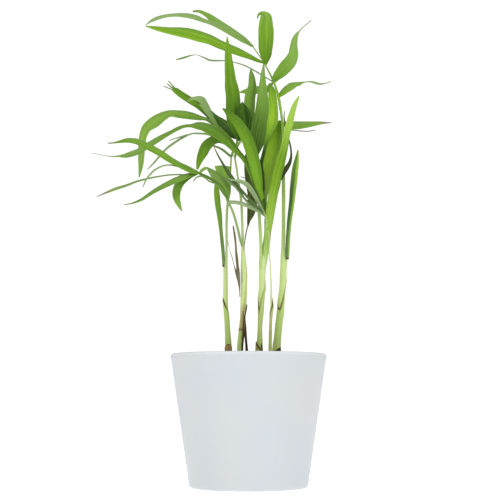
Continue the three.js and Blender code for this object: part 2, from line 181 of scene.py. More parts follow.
# %% [markdown]
# ## Surfaces from two parameters
# Every piece here is a closed skin of rings. One parameter runs along it, from ring to ring, and the
# other runs round each ring. numpy works out all places at once, and a cap closes each end. The
# skin also carries numbers for its finish, such as how young or how dry the tissue is.
# %% Smooth lines
FRONT = np.array([0.0, -1.0, 0.0])
DENSE = 24


def smooth_curve(rows):
    """A smooth curve through rows of numbers whose first three are a place.

    Between two rows runs a cubic whose slopes come from the neighbouring rows, spaced by the square
    root of their distance."""
    rows = np.asarray(rows, float)
    ends = np.vstack([2 * rows[0] - rows[1], rows, 2 * rows[-1] - rows[-2]])
    gap = np.sqrt(np.linalg.norm(np.diff(ends[:, :3], axis=0), axis=1))[:, None]
    slope = np.diff(ends, axis=0) / gap
    before, here, after = gap[:-2], gap[1:-1], gap[2:]
    leave = here * (slope[:-2] - (ends[2:-1] - ends[:-3]) / (before + here) + slope[1:-1])
    reach = here * (slope[1:-1] - (ends[3:] - ends[1:-2]) / (here + after) + slope[2:])
    share = np.linspace(0, len(rows) - 1, DENSE * (len(rows) - 1) + 1)
    span = np.minimum(share.astype(int), len(rows) - 2)
    t = (share - span)[:, None]
    return ((2 * t**3 - 3 * t**2 + 1) * rows[span] + (t**3 - 2 * t**2 + t) * leave[span]
            + (3 * t**2 - 2 * t**3) * rows[span + 1] + (t**3 - t**2) * reach[span])


def even_steps(curve, count):
    """The same curve stepped off at equal lengths, and its whole length."""
    length = np.append(0, np.cumsum(np.linalg.norm(np.diff(curve[:, :3], axis=0), axis=1)))
    even = np.linspace(0, length[-1], count)
    return np.column_stack([np.interp(even, length, column) for column in curve.T]), length[-1]


def line_frame(line):
    """Along the line, sideways to it as seen from the front, and out of its face: three unit vectors."""
    along = np.gradient(line[:, :3], axis=0)
    along /= np.linalg.norm(along, axis=1, keepdims=True)
    side = np.cross(along, FRONT)
    side /= np.linalg.norm(side, axis=1, keepdims=True)
    return along, side, np.cross(side, along)


print("a smooth line takes", DENSE, "steps from one row to the next")


# %% From rings to a mesh
def skin(places, finish, **values):
    """A closed skin: an array of rings of places in mm, its finish, and numbers for that finish."""
    rings, around = places.shape[:2]
    full = {key: np.broadcast_to(value, (rings, around)) for key, value in values.items()}
    return {"places": places, "finish": finish, "values": full}


def skin_faces(rings, around, start):
    """Four-sided faces between neighbouring rings, and one cap over each end ring."""
    number = start + np.arange(rings * around).reshape(rings, around)
    near, far = number[:-1], number[1:]
    quads = np.stack([near, far, np.roll(far, -1, 1), np.roll(near, -1, 1)], -1).reshape(-1, 4)
    return quads.tolist() + [number[0].tolist(), number[-1][::-1].tolist()]


def carry_values(mesh, skins):
    """Puts the skins' numbers on the mesh's points, and both directions of growth in its UV map."""
    flat = {}
    for key in sorted({key for one in skins for key in one["values"]}):
        parts = [one["values"].get(key, np.zeros(one["places"].shape[:2])).ravel() for one in skins]
        flat[key] = np.concatenate(parts).astype(np.float32)
        mesh.attributes.new(key, "FLOAT", "POINT").data.foreach_set("value", flat[key])
    if "across" in flat:
        corner = np.empty(len(mesh.loops), np.int32)
        mesh.loops.foreach_get("vertex_index", corner)
        growth = np.stack([flat["across"], flat["along"]], -1)[corner]
        mesh.uv_layers.new(name="growth").data.foreach_set("uv", growth.ravel())


def make_piece(name, skins, finishes, slot, *nodes):
    """Joins named skins into one mesh that rides on the root body, and hides the CAD nodes it takes the place
    of.
    """
    faces, finish_of, start = [], [], 0
    for one in skins.values():
        rings, around = one["places"].shape[:2]
        new = skin_faces(rings, around, start)
        faces += new
        finish_of += [list(finishes).index(one["finish"])] * len(new)
        start += rings * around
    places = np.concatenate([one["places"].reshape(-1, 3) for one in skins.values()]) * MM
    mesh = bpy.data.meshes.new(name)
    mesh.from_pydata(places.tolist(), [], faces)
    mesh.polygons.foreach_set("use_smooth", np.ones(len(faces), bool))
    mesh.polygons.foreach_set("material_index", finish_of)
    for material in finishes.values():
        mesh.materials.append(material)
    carry_values(mesh, list(skins.values()))
    piece = bpy.data.objects.new(name, mesh)
    scene.collection.objects.link(piece)
    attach(piece, "root")
    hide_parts(*nodes)
    print(name, "has", len(faces), "faces")


print("a skin of 3 rings of 4 points has", len(skin_faces(3, 4, 0)), "faces")


# %% [markdown]
# ## Node groups that several finishes share
# Plant tissue grows lengthwise, so its colour comes in long streaks and its veins run side by side.
# Both effects are built once as node groups and placed in each material with its own values. They put
# out only a value: the shader itself stays in the material.
# %% Shader helpers
def colour(red, green, blue):
    """A paint-chart colour, 0 to 255, as the linear colour that a shader wants."""
    chart = np.array([red, green, blue]) / 255
    linear = np.where(chart <= 0.04045, chart / 12.92, ((chart + 0.055) / 1.055) ** 2.4)
    return (*linear.tolist(), 1.0)


def math_node(tree, operation, first, second=0.0, clamp=False):
    """One operation on two numbers or links."""
    made = node(tree, "ShaderNodeMath", {0: first, 1: second}, operation=operation, use_clamp=clamp)
    return made.outputs[0]


def add(tree, first, second, clamp=False):
    """The sum of two numbers or links."""
    return math_node(tree, "ADD", first, second, clamp)


def times(tree, first, second, clamp=False):
    """The product of two numbers or links."""
    return math_node(tree, "MULTIPLY", first, second, clamp)


def larger(tree, first, second):
    """The larger of two numbers or links."""
    return math_node(tree, "MAXIMUM", first, second)


def remap(tree, value, low, high, to_low=0.0, to_high=1.0, smooth=True):
    """Carries the range low..high to another, held at both ends, and eased there if smooth."""
    kind = "SMOOTHSTEP" if smooth else "LINEAR"
    ends = {"From Min": low, "From Max": high, "To Min": to_low, "To Max": to_high}
    made = node(tree, "ShaderNodeMapRange", {"Value": value, **ends}, interpolation_type=kind)
    return made.outputs["Result"]


def swing(tree, value, reach):
    """Carries 0..1 to an equal swing below and above nothing."""
    return remap(tree, value, 0, 1, -reach, reach, smooth=False)


def mix(tree, share, first, second):
    """A colour between two."""
    return node(tree, "ShaderNodeMix", {0: share, 6: first, 7: second}, data_type="RGBA").outputs[2]


def ramp(tree, value, stops):
    """A colour read off a scale of (position, colour) stops, from 0 to 1."""
    made = node(tree, "ShaderNodeValToRGB", {"Fac": value})
    scale = made.color_ramp
    for position, _ in stops[1:-1]:
        scale.elements.new(position)
    for element, (position, shade) in zip(scale.elements, stops):
        element.position = position
        element.color = shade
    return made.outputs["Color"]


def new_group(name, inputs):
    """An empty node group with named number inputs and one number output."""
    tree = bpy.data.node_groups.new(name, "ShaderNodeTree")
    for label, value in inputs.items():
        kind = "NodeSocketVector" if isinstance(value, tuple) else "NodeSocketFloat"
        tree.interface.new_socket(label, in_out="INPUT", socket_type=kind).default_value = value
    tree.interface.new_socket("Value", in_out="OUTPUT", socket_type="NodeSocketFloat")
    return tree, tree.nodes.new("NodeGroupInput").outputs, tree.nodes.new("NodeGroupOutput")


def place_group(tree, group, inputs):
    """Places a node group in a material and gives its value."""
    return node(tree, "ShaderNodeGroup", inputs, node_tree=group).outputs["Value"]


def new_finish(name, roughness, specular):
    """A material with its shader's even values set on the shader's own sockets."""
    material = bpy.data.materials.new(name)
    material.use_nodes = True
    tree = material.node_tree
    shader = tree.nodes["Principled BSDF"]
    shader.inputs["Roughness"].default_value = roughness
    shader.inputs["Specular IOR Level"].default_value = specular
    return material, tree, shader


def carried(tree, name):
    """A number that the mesh carries for its finish."""
    return node(tree, "ShaderNodeAttribute", attribute_name=name).outputs["Fac"]


def growth_axes(tree):
    """The piece's own UV map: across the tissue, and along the way it grew."""
    chart = node(tree, "ShaderNodeUVMap", uv_map="growth")
    axes = node(tree, "ShaderNodeSeparateXYZ", {"Vector": chart.outputs["UV"]})
    return axes.outputs["X"], axes.outputs["Y"]


def raise_bump(tree, shader, height, depth):
    """Feeds a relief of 0 to 1, as deep as depth in metres, to the shader's normal."""
    bump = node(tree, "ShaderNodeBump", {"Height": height, "Strength": 1.0, "Distance": depth})
    tree.links.new(bump.outputs["Normal"], shader.inputs["Normal"])


print("a middle grey for the shader:", [round(value, 3) for value in colour(128, 128, 128)])

# %% Streaks and veins
streaks, given, result = new_group("lengthwise_streaks", {
    "Across": 0.0, "Along": 0.0, "Seed": 0.0, "Fine": 12.0, "Long": 2.0})
stretched = node(streaks, "ShaderNodeCombineXYZ", {
    "X": times(streaks, given["Across"], given["Fine"]),
    "Y": times(streaks, given["Along"], given["Long"]),
    "Z": times(streaks, given["Seed"], 7.0)})
grain = node(streaks, "ShaderNodeTexNoise", {
    "Vector": stretched.outputs[0], "Scale": 1.0, "Detail": 3.0, "Roughness": 0.6})
streaks.links.new(remap(streaks, grain.outputs["Fac"], 0.3, 0.7), result.inputs["Value"])

veins, given, result = new_group("parallel_veins", {"Across": 0.0, "Count": 9.0, "Sharp": 3.0})
phase = math_node(veins, "FRACT", times(veins, given["Across"], given["Count"]))
peak = math_node(veins, "PINGPONG", times(veins, phase, 2.0), 1.0)
veins.links.new(math_node(veins, "POWER", peak, given["Sharp"]), result.inputs["Value"])

mottle, given, result = new_group("mottle", {
    "Place": (0.0, 0.0, 0.0), "Size": 40.0, "Low": 0.35, "High": 0.65})
cloud = node(mottle, "ShaderNodeTexNoise", {
    "Vector": given["Place"], "Scale": given["Size"], "Detail": 4.0, "Roughness": 0.55})
mottle.links.new(remap(mottle, cloud.outputs["Fac"], given["Low"], given["High"]), result.inputs["Value"])
print("node groups:", [group.name for group in bpy.data.node_groups])


# %% [markdown]
# ## The leaf finish
# A leaflet is deep green when old and yellow-green when young, streaked along its length, with a lighter
# keel in the middle, partly its paler midrib and partly a painted highlight along the crease, and fine
# veins beside it. Its underside is duller and bluish, and its tip dries to grey-brown. The mesh carries
# the tone, the paleness and the place where the tip starts to dry.
# %% Leaf finish
STREAK_SWING = 0.11
FINE_SWING = 0.06
VEIN_LIFT = 0.05
KEEL_LIFT = 0.05
KEEL_HALF_WIDTH = 0.04
UNDERSIDE_PALENESS = 0.45
TIP_WANDER = 0.035
YELLOWED = colour(170, 160, 84)
DRY_TIP = colour(164, 160, 130), colour(116, 110, 82)
DRY_HEEL = colour(98, 88, 48)
LEAF_RELIEF = 0.0001


def leaf_finish(name, deep, ripe, young, faded, roughness, specular):
    """Tone picks from deep to young, streaks and veins vary it, and faded and dry tissue cover it."""
    material, tree, shader = new_finish(name, roughness, specular)
    across, along = growth_axes(tree)
    grown = {"Across": across, "Along": along, "Seed": carried(tree, "seed")}
    streak = place_group(tree, streaks, {**grown, "Fine": 8.0, "Long": 1.4})
    fine = place_group(tree, streaks, {**grown, "Fine": 36.0, "Long": 5.0})
    vein = place_group(tree, veins, {"Across": across, "Count": 11.0, "Sharp": 4.0})
    # The carried tone is partly the tissue's age and partly painted shade: leaflets in shade get low tones.
    tone = add(tree, carried(tree, "tone"), swing(tree, streak, STREAK_SWING))
    tone = add(tree, tone, swing(tree, fine, FINE_SWING))
    tone = add(tree, tone, times(tree, vein, VEIN_LIFT))
    # The keel is lighter: partly the paler midrib, partly a painted highlight along the crease.
    from_keel = math_node(tree, "ABSOLUTE", math_node(tree, "SUBTRACT", across, 0.5))
    keel = remap(tree, from_keel, 0.0, KEEL_HALF_WIDTH, KEEL_LIFT, 0.0)
    green = ramp(tree, add(tree, tone, keel, clamp=True), [(0.0, deep), (0.5, ripe), (1.0, young)])
    pale = larger(tree, carried(tree, "pale"), times(tree, carried(tree, "lower"), UNDERSIDE_PALENESS))
    green = mix(tree, pale, green, faded)
    wander = add(tree, along, swing(tree, fine, TIP_WANDER))
    past = math_node(tree, "SUBTRACT", wander, carried(tree, "sound"))
    green = mix(tree, remap(tree, past, -0.09, 0.02, 0.0, 0.65), green, YELLOWED)
    heel = remap(tree, math_node(tree, "SUBTRACT", along, carried(tree, "heel")), -0.01, 0.006, 1.0, 0.0)
    withered = larger(tree, remap(tree, past, -0.03, 0.03), heel)
    dried = mix(tree, heel, mix(tree, fine, *DRY_TIP), DRY_HEEL)
    tree.links.new(mix(tree, withered, green, dried), shader.inputs["Base Color"])
    gloss = remap(tree, streak, 0, 1, roughness - 0.06, roughness + 0.08, smooth=False)
    gloss = add(tree, gloss, times(tree, pale, 0.2))
    tree.links.new(add(tree, gloss, times(tree, withered, 0.3)), shader.inputs["Roughness"])
    raise_bump(tree, shader, add(tree, times(tree, vein, 0.6), times(tree, fine, 0.4)), LEAF_RELIEF)
    return material


leaf_green = leaf_finish(
    "leaf_green", deep=colour(34, 70, 6), ripe=colour(114, 160, 30), young=colour(172, 206, 52),
    faded=colour(150, 174, 116), roughness=0.45, specular=0.15)
young_green = leaf_finish(
    "young_green", deep=colour(80, 118, 8), ripe=colour(142, 182, 40), young=colour(194, 220, 84),
    faded=colour(182, 208, 130), roughness=0.45, specular=0.15)
silver_green = leaf_finish(
    "silver_green", deep=colour(36, 64, 14), ripe=colour(112, 140, 76), young=colour(172, 194, 132),
    faded=colour(176, 194, 150), roughness=0.5, specular=0.2)
print("leaf finishes:", leaf_green.name, young_green.name, silver_green.name)

# %% [markdown]
# ## The stem finish
# The stem is pale and juicy, yellow-green low down, nearly white where a sheath has just opened and
# greener again up in the stalks. Fine ribs run up it. Each sheath ends in a thin brown edge.
# %% Stem finish
PALEST_AT, GREENEST_AT = 0.080, 0.220
RIB = colour(226, 236, 186)
STEM_STREAK = colour(160, 190, 90)
FLUSHED = colour(132, 174, 44)
PARCHED = colour(206, 186, 136), colour(150, 116, 66)
SHEATH_EDGE = colour(104, 72, 34), colour(44, 30, 16)
EDGE_ABOVE = 0.35
STEM_RELIEF = 0.00008


def stem_finish(name, stops, roughness):
    """Height up the plant picks the green, ribs streak it, and each sheath edge is browned."""
    material, tree, shader = new_finish(name, roughness, specular=0.2)
    across, along = growth_axes(tree)
    place = node(tree, "ShaderNodeTexCoord").outputs["Object"]
    height = node(tree, "ShaderNodeSeparateXYZ", {"Vector": place}).outputs["Z"]
    grown = {"Across": across, "Along": along, "Seed": carried(tree, "seed")}
    streak = place_group(tree, streaks, {**grown, "Fine": 9.0, "Long": 3.0})
    fine = place_group(tree, streaks, {**grown, "Fine": 30.0, "Long": 26.0})
    rib = place_group(tree, veins, {"Across": across, "Count": 12.0, "Sharp": 2.0})
    up = remap(tree, height, PALEST_AT, GREENEST_AT, smooth=False)
    green = ramp(tree, add(tree, up, swing(tree, streak, 0.05), clamp=True), stops)
    green = mix(tree, times(tree, rib, 0.25), green, RIB)
    green = mix(tree, times(tree, streak, 0.3), green, STEM_STREAK)
    green = mix(tree, carried(tree, "flush"), green, FLUSHED)
    green = mix(tree, carried(tree, "dry"), green, mix(tree, fine, *PARCHED))
    from_edge = math_node(tree, "ABSOLUTE", add(tree, carried(tree, "mouth"), EDGE_ABOVE))
    line = times(tree, remap(tree, from_edge, 0.25, 0.85, 1.0, 0.0), carried(tree, "mouth_dark"))
    ragged = remap(tree, fine, 0, 1, 0.8, 1.2)
    rim = times(tree, larger(tree, line, carried(tree, "rim")), ragged, clamp=True)
    tree.links.new(mix(tree, rim, green, mix(tree, fine, *SHEATH_EDGE)), shader.inputs["Base Color"])
    tree.links.new(remap(tree, streak, 0, 1, roughness - 0.06, roughness + 0.1), shader.inputs["Roughness"])
    raise_bump(tree, shader, add(tree, times(tree, rib, 0.5), times(tree, streak, 0.5)), STEM_RELIEF)
    return material


stem_green = stem_finish("stem_green", [
    (0.0, colour(182, 204, 112)), (0.18, colour(202, 220, 136)), (0.36, colour(208, 224, 152)),
    (0.5, colour(202, 218, 150)), (0.62, colour(176, 198, 126)), (0.8, colour(160, 184, 108)),
    (1.0, colour(148, 176, 96))], roughness=0.42)
print("stem finish:", stem_green.name)

# %% [markdown]
# ## Dry and dead tissue
# Old sheaths and a few dead leaflets have dried: brown to nearly black, fibrous, with no gloss.
# %% Dry finish
CHARRED = colour(34, 24, 14)
FIBRE_RELIEF = 0.00015


def dry_finish(name, dark, light, roughness):
    """Fibres run along the piece between a dark and a light brown, and a sheath's edge is darker still."""
    material, tree, shader = new_finish(name, roughness, specular=0.2)
    across, along = growth_axes(tree)
    grown = {"Across": across, "Along": along, "Seed": carried(tree, "seed")}
    streak = place_group(tree, streaks, {**grown, "Fine": 14.0, "Long": 3.0})
    fibre = place_group(tree, veins, {"Across": across, "Count": 13.0, "Sharp": 1.5})
    shade = add(tree, carried(tree, "tone"), swing(tree, streak, 0.35), clamp=True)
    from_edge = math_node(tree, "ABSOLUTE", carried(tree, "mouth"))
    line = times(tree, remap(tree, from_edge, 0.3, 0.9, 0.9, 0.0), carried(tree, "mouth_dark"))
    tree.links.new(mix(tree, line, mix(tree, shade, dark, light), CHARRED), shader.inputs["Base Color"])
    raise_bump(tree, shader, add(tree, times(tree, fibre, 0.5), streak), FIBRE_RELIEF)
    tree.links.new(remap(tree, streak, 0, 1, roughness - 0.1, roughness + 0.1), shader.inputs["Roughness"])
    return material


dry_brown = dry_finish("dry_brown", dark=colour(48, 34, 18), light=colour(176, 146, 92), roughness=0.8)
dry_grey = dry_finish("dry_grey", dark=colour(64, 56, 28), light=colour(158, 148, 110), roughness=0.8)
dead_olive = dry_finish("dead_olive", dark=colour(40, 42, 16), light=colour(130, 142, 76), roughness=0.65)
print("finishes:", [material.name for material in bpy.data.materials])

# %% [markdown]
# ## The pot
# A slip-cast pot is a surface of revolution: one profile turned round the axis. The wall is a straight
# taper with a soft lip and a rounded foot, and the glaze is a satin cool white, faintly clouded. Its
# rounded lip carries a painted highlight: a lighter band where it catches the light from above.
# %% Pot finish
GLAZE = colour(198, 201, 203), colour(195, 200, 204)
# Painted highlight: the rounded lip is lighter between LIP_FROM and LIP_TO, where it catches light from
# above.
LIP_HIGHLIGHT = colour(219, 223, 226)
LIP_FROM, LIP_TO = 0.0805, 0.0822
IRON_SPECK = colour(176, 182, 180)
GLAZE_RELIEF = 0.00003


def glaze_finish():
    """Nearly even satin glaze: a faint cloud in colour and gloss, a few iron specks, a painted lip highlight.
    """
    material, tree, shader = new_finish("white_glaze", roughness=0.45, specular=0.4)
    place = node(tree, "ShaderNodeTexCoord").outputs["Object"]
    cloud = place_group(tree, mottle, {"Place": place, "Size": 28.0, "Low": 0.3, "High": 0.7})
    grain = place_group(tree, mottle, {"Place": place, "Size": 900.0, "Low": 0.35, "High": 0.7})
    height = node(tree, "ShaderNodeSeparateXYZ", {"Vector": place}).outputs["Z"]
    # The lip band is a painted highlight, lighter where the rounded lip catches the light from above.
    body = mix(tree, remap(tree, height, LIP_FROM, LIP_TO), mix(tree, cloud, *GLAZE), LIP_HIGHLIGHT)
    cells = node(tree, "ShaderNodeTexVoronoi", {"Vector": place, "Scale": 42.0, "Randomness": 1.0})
    speck = remap(tree, cells.outputs["Distance"], 0.012, 0.03, 0.35, 0.0)
    tree.links.new(mix(tree, speck, body, IRON_SPECK), shader.inputs["Base Color"])
    tree.links.new(remap(tree, cloud, 0, 1, 0.4, 0.5), shader.inputs["Roughness"])
    raise_bump(tree, shader, grain, GLAZE_RELIEF)
    return material


white_glaze = glaze_finish()
print("pot finish:", white_glaze.name)

# %% Pot shape
POT_HEIGHT = 83.0
RIM_RADIUS = 49.2
BASE_RADIUS = 37.0
WALL = 4.0
LIP_ROUND = 2.0
FOOT_ROUND = 2.5
WALL_FROM, INSIDE_FROM, WALL_TO = 6.0, 8.0, 77.0
POLE = 0.4


def outer_radius(height):
    """The outside wall is a straight taper from the base to the rim."""
    return BASE_RADIUS + (RIM_RADIUS - BASE_RADIUS) * height / POT_HEIGHT


def arc(radius, height, round_by, start, end, count=10):
    """Part of a circle about a centre, from one angle to another, in degrees."""
    angle = np.radians(np.linspace(start, end, count))
    return np.column_stack([radius + round_by * np.cos(angle), height + round_by * np.sin(angle)])


def turn_profile(profile, around=160):
    """Carries [radius, height] points round the upright axis."""
    angle = -np.linspace(0, 2 * math.pi, around, endpoint=False)
    radius, height = profile[:, 0, None], profile[:, 1, None]
    return np.stack([radius * np.cos(angle), radius * np.sin(angle), height + 0 * angle], -1)


inner_foot = outer_radius(WALL) - WALL
pot_profile = np.vstack([
    [[radius, 0] for radius in (POLE, 10, 20, 30)],
    arc(outer_radius(FOOT_ROUND) - FOOT_ROUND, FOOT_ROUND, FOOT_ROUND, -90, -9),
    [[outer_radius(height), height] for height in np.linspace(WALL_FROM, WALL_TO, 18)],
    arc(RIM_RADIUS - LIP_ROUND, POT_HEIGHT - LIP_ROUND, LIP_ROUND, -8, 188, 16),
    [[outer_radius(height) - WALL, height] for height in np.linspace(WALL_TO, INSIDE_FROM, 12)],
    arc(inner_foot - FOOT_ROUND, WALL + FOOT_ROUND, FOOT_ROUND, 0, -90, 6),
    [[20.0, WALL], [POLE, WALL]]])
pot_skin = skin(turn_profile(pot_profile), "glaze")
make_piece("white_pot", {"pot": pot_skin}, {"glaze": white_glaze}, "ceramic", "pot")

# %% [markdown]
# ## The soil
# Potting soil fills the pot to a centimetre under the rim. Its top is a low, lumpy sheet, and loose
# crumbs and bark bits lie on it. It is dark and damp, so the finish is rough with small light flecks.
# %% Soil
SOIL_TOP = 73.0
CLEARANCE = 0.3
SOIL_EDGE = outer_radius(SOIL_TOP) - WALL - CLEARANCE
TOP_RINGS = 60
CRUMBS = 420
CRUMB_SIZES = 0.5, 1.7
CRUMB_FREE_EDGE = 3.0
PEAT = colour(38, 26, 17), colour(82, 58, 38)
PEAT_FLECK = colour(168, 136, 96)
SOIL_RELIEF = 0.0008


def lump(x, y):
    """Low even lumps from a few crossed waves, and finer ones on top of them."""
    low = np.sin(x * 0.31 + 1) * np.cos(y * 0.27) + 0.4 * np.sin(x * 0.7 - y * 0.55)
    fine = np.sin(x * 1.9 + 2 * np.cos(y * 0.9)) * np.sin(y * 2.1 + 1.5 * np.cos(x * 1.1))
    return 0.8 * low + 0.35 * fine


def soil_body():
    """The filling: a turned body whose top rings follow the lumps."""
    low = WALL + FOOT_ROUND + CLEARANCE
    top = np.linspace(SOIL_EDGE, POLE, TOP_RINGS)
    wall = np.linspace(low + FOOT_ROUND, SOIL_TOP - 1, 14)
    foot = outer_radius(low) - WALL - CLEARANCE
    profile = np.vstack([[[POLE, low], [foot - FOOT_ROUND, low]],
                         np.column_stack([outer_radius(wall) - WALL - CLEARANCE, wall]),
                         np.column_stack([top, np.full(TOP_RINGS, SOIL_TOP)])])
    places = turn_profile(profile, around=120)
    over = places[-TOP_RINGS:]
    fade = 1 - (np.hypot(over[..., 0], over[..., 1]) / SOIL_EDGE) ** 8
    over[..., 2] += fade * lump(over[..., 0], over[..., 1])
    return skin(places, "soil")


def crumb(rng):
    """One clod: a ball of rings whose radius wavers, set half into the soil."""
    size = rng.uniform(*CRUMB_SIZES)
    reach, angle = (SOIL_EDGE - CRUMB_FREE_EDGE) * math.sqrt(rng.uniform()), rng.uniform(0, 2 * math.pi)
    x, y = reach * math.cos(angle), reach * math.sin(angle)
    down = np.linspace(0.25, math.pi - 0.25, 5)[:, None]
    round_it = -np.linspace(0, 2 * math.pi, 7, endpoint=False) + rng.uniform(0, 6)
    wave = size * (1 + 0.25 * np.sin(2 * round_it + rng.uniform(0, 6) + 2 * down))
    ball = np.stack([wave * np.sin(down) * np.cos(round_it), 0.8 * wave * np.sin(down) * np.sin(round_it),
                     -0.7 * size * np.cos(down) + 0 * round_it], -1)
    return skin(ball + [x, y, SOIL_TOP + lump(x, y) + 0.2 * size], "soil")


def soil_finish():
    """Damp peat: dark brown clouds, light flecks, and a deep rough bump."""
    material, tree, shader = new_finish("peat", roughness=0.95, specular=0.2)
    place = node(tree, "ShaderNodeTexCoord").outputs["Object"]
    cloud = place_group(tree, mottle, {"Place": place, "Size": 260.0, "Low": 0.3, "High": 0.7})
    fleck = place_group(tree, mottle, {"Place": place, "Size": 1500.0, "Low": 0.66, "High": 0.72})
    body = mix(tree, times(tree, fleck, 0.6), mix(tree, cloud, *PEAT), PEAT_FLECK)
    tree.links.new(body, shader.inputs["Base Color"])
    tree.links.new(remap(tree, cloud, 0, 1, 0.85, 1.0), shader.inputs["Roughness"])
    raise_bump(tree, shader, cloud, SOIL_RELIEF)
    return material


rng = np.random.default_rng(5)
soil_skins = {"filling": soil_body()} | {"crumb %d" % number: crumb(rng) for number in range(CRUMBS)}
make_piece("potting_soil", soil_skins, {"soil": soil_finish()}, "soil", "soil")

# %% [markdown]
# ## Stems
# A palm stem has no bark. What shows is the tubes of the leaf bases, one out of the other, each
# ending in a slanted brown mouth. So a stem is a tube carried along its line, and under every mouth its
# radius is larger by the wall of that sheath.
# %% Stem skin
def spread(values, share):
    """Values at equal steps along a piece, read at each share of its length."""
    values = np.atleast_1d(values)
    return np.interp(share, np.linspace(0, 1, len(values)), values)


NO_MOUTH = 50.0
LIP_LENGTH = 0.4
DARK_SPREAD = 0.45
GREENING = 0.3
GREENING_LENGTH = 22.0
KNOT_LENGTH = 0.8
KNOT_BROWN = 0.8


def sheath_mouth(angle, low, rise, facing=0, power=2, tilt=0):
    """Height of a sheath's slanted mouth round the stem, with angles in degrees from the right.

    It is low + rise * |sine of half the angle from the facing side| ** power, plus tilt times the sine
    of that angle."""
    turn = angle - math.radians(facing)
    return low + rise * np.abs(np.sin(turn / 2)) ** power + tilt * np.sin(turn)


def stem_skin(rows, mouth=None, dark_side=0, darkness=1, knots=(), dry=(), count=60, around=12, wall=0.16,
              finish="stem", flush=0.0, **values):
    """A tube along rows of (x, y, z, radius) whose radius steps in above the mouth of its sheath.

    The mouth's edge is darkest on its dark side. A knot (height, swell) is a ring, and dry (height,
    half length, share) is a withered stretch."""
    line, _ = even_steps(smooth_curve(rows), count)
    _, side, face = line_frame(line)
    angle = np.linspace(0, 2 * math.pi, around, endpoint=False)
    out = side[:, None] * np.cos(angle)[:, None] + face[:, None] * np.sin(angle)[:, None]
    height = np.broadcast_to(line[:, 2, None], (count, around))
    radius = np.broadcast_to(line[:, 3, None], (count, around)).copy()
    green = np.repeat(spread(flush, np.linspace(0, 1, count))[:, None], around, 1)
    above, dark = NO_MOUTH, 0.0
    if mouth:
        edge = sheath_mouth(angle, **mouth)
        slope = (np.roll(edge, -1) - np.roll(edge, 1)) * around / (4 * math.pi) / radius
        above = (height - edge) / np.sqrt(1 + slope**2)
        from_dark = np.sin((angle - math.radians(dark_side)) / 2) / DARK_SPREAD
        dark = darkness * (0.3 + 0.7 * np.exp(-from_dark**2))
        radius -= wall * np.tanh(above / LIP_LENGTH)
        green += GREENING * np.exp(-np.maximum(edge - height, 0) / GREENING_LENGTH) * (above < 0)
    rim = 0.0
    for level, swell in knots:
        ring = np.exp(-((height - level) / KNOT_LENGTH) ** 2)
        radius += swell * ring
        rim = np.maximum(rim, KNOT_BROWN * ring)
    dryness = sum((share * np.exp(-((height - level) / half) ** 4) for level, half, share in dry), 0 * height)
    places = line[:, None, :3] + out * radius[..., None]
    return skin(places, finish, across=np.abs(angle / math.pi - 1), along=np.linspace(0, 1, count)[:, None],
                rim=rim, mouth=above, mouth_dark=dark, dry=dryness, flush=green, **values)


print("a mouth from 100 to 109 mm, each quarter turn:", sheath_mouth(np.radians([0, 90, 180]), 100, 9))


# %% [markdown]
# ## Blades
# A leaflet is a thin strip with a crease down its middle, the keel, and a fine tip. A flat card with a
# drawn leaf would vanish from the side. So a blade is a closed, very flat skin that is carried along
# its keel, rolled about it, and made as wide at each place as it was read there.
# %% Blade sections
BLADE_THICKNESS = 0.42
BLADE_RINGS = 64
AROUND_BLADE = 26
ROUND_ANGLE = np.linspace(0, 2 * math.pi, AROUND_BLADE, endpoint=False) + math.pi / AROUND_BLADE
REACH = np.cos(ROUND_ANGLE)
KEEL_ROUNDING = 0.03
KEEL_LEVEL = 0.95
DROP = np.sqrt(REACH**2 + KEEL_ROUNDING) - KEEL_LEVEL


def blade_rings(line, side, face, slim, fold, ripple=0.0):
    """A ring at each row of (x, y, z, width, roll): a very flat ellipse bent down both sides of the keel.

    Round the ring runs an angle: its cosine goes from edge to edge, its sine gives the thickness. The
    edges drop below the keel by the fold, and the ripple lifts one edge and lowers the other."""
    roll = np.radians(line[:, 4, None])
    normal = face * np.cos(roll) + side * np.sin(roll)
    across = side * np.cos(roll) - face * np.sin(roll)
    width = line[:, 3, None]
    lift = 0.5 * BLADE_THICKNESS * slim * np.sin(ROUND_ANGLE) - fold * width * DROP + ripple * REACH
    flat = across[:, None] * (0.5 * width * REACH)[..., None]
    return line[:, None, :3] + flat + normal[:, None] * lift[..., None]


print("a blade has", BLADE_RINGS, "rings of", AROUND_BLADE, "points")


# %% From readings to a blade
SLIMMEST = 0.25
FULL_THICKNESS_FROM = 1.2
TIP_THICKNESS = 0.35
ROLLS = np.arange(0, 80, 0.5)[:, None]
SOFT_EDGE, SOFT_EDGE_OF_THIN, THIN_TO = 0.5, 0.2, 2
DARK_EDGE = 0.1
OVER_WIDEST = 1.15
FITTING_ROUNDS = 25
KEEL_STEP = 0.35
WIDTH_STEPS = 0.85, 1.18


def keel_crossing(rows):
    """Side and face of the keel at each row, and the picture direction that crosses it there."""
    along, side, face = (way[::DENSE] for way in line_frame(smooth_curve(rows)))
    flow = picture_point(rows[:, :3] + along) - picture_point(rows[:, :3] - along)
    flow /= np.linalg.norm(flow, axis=1, keepdims=True)
    return side, face, np.column_stack([-flow[:, 1], flow[:, 0]])


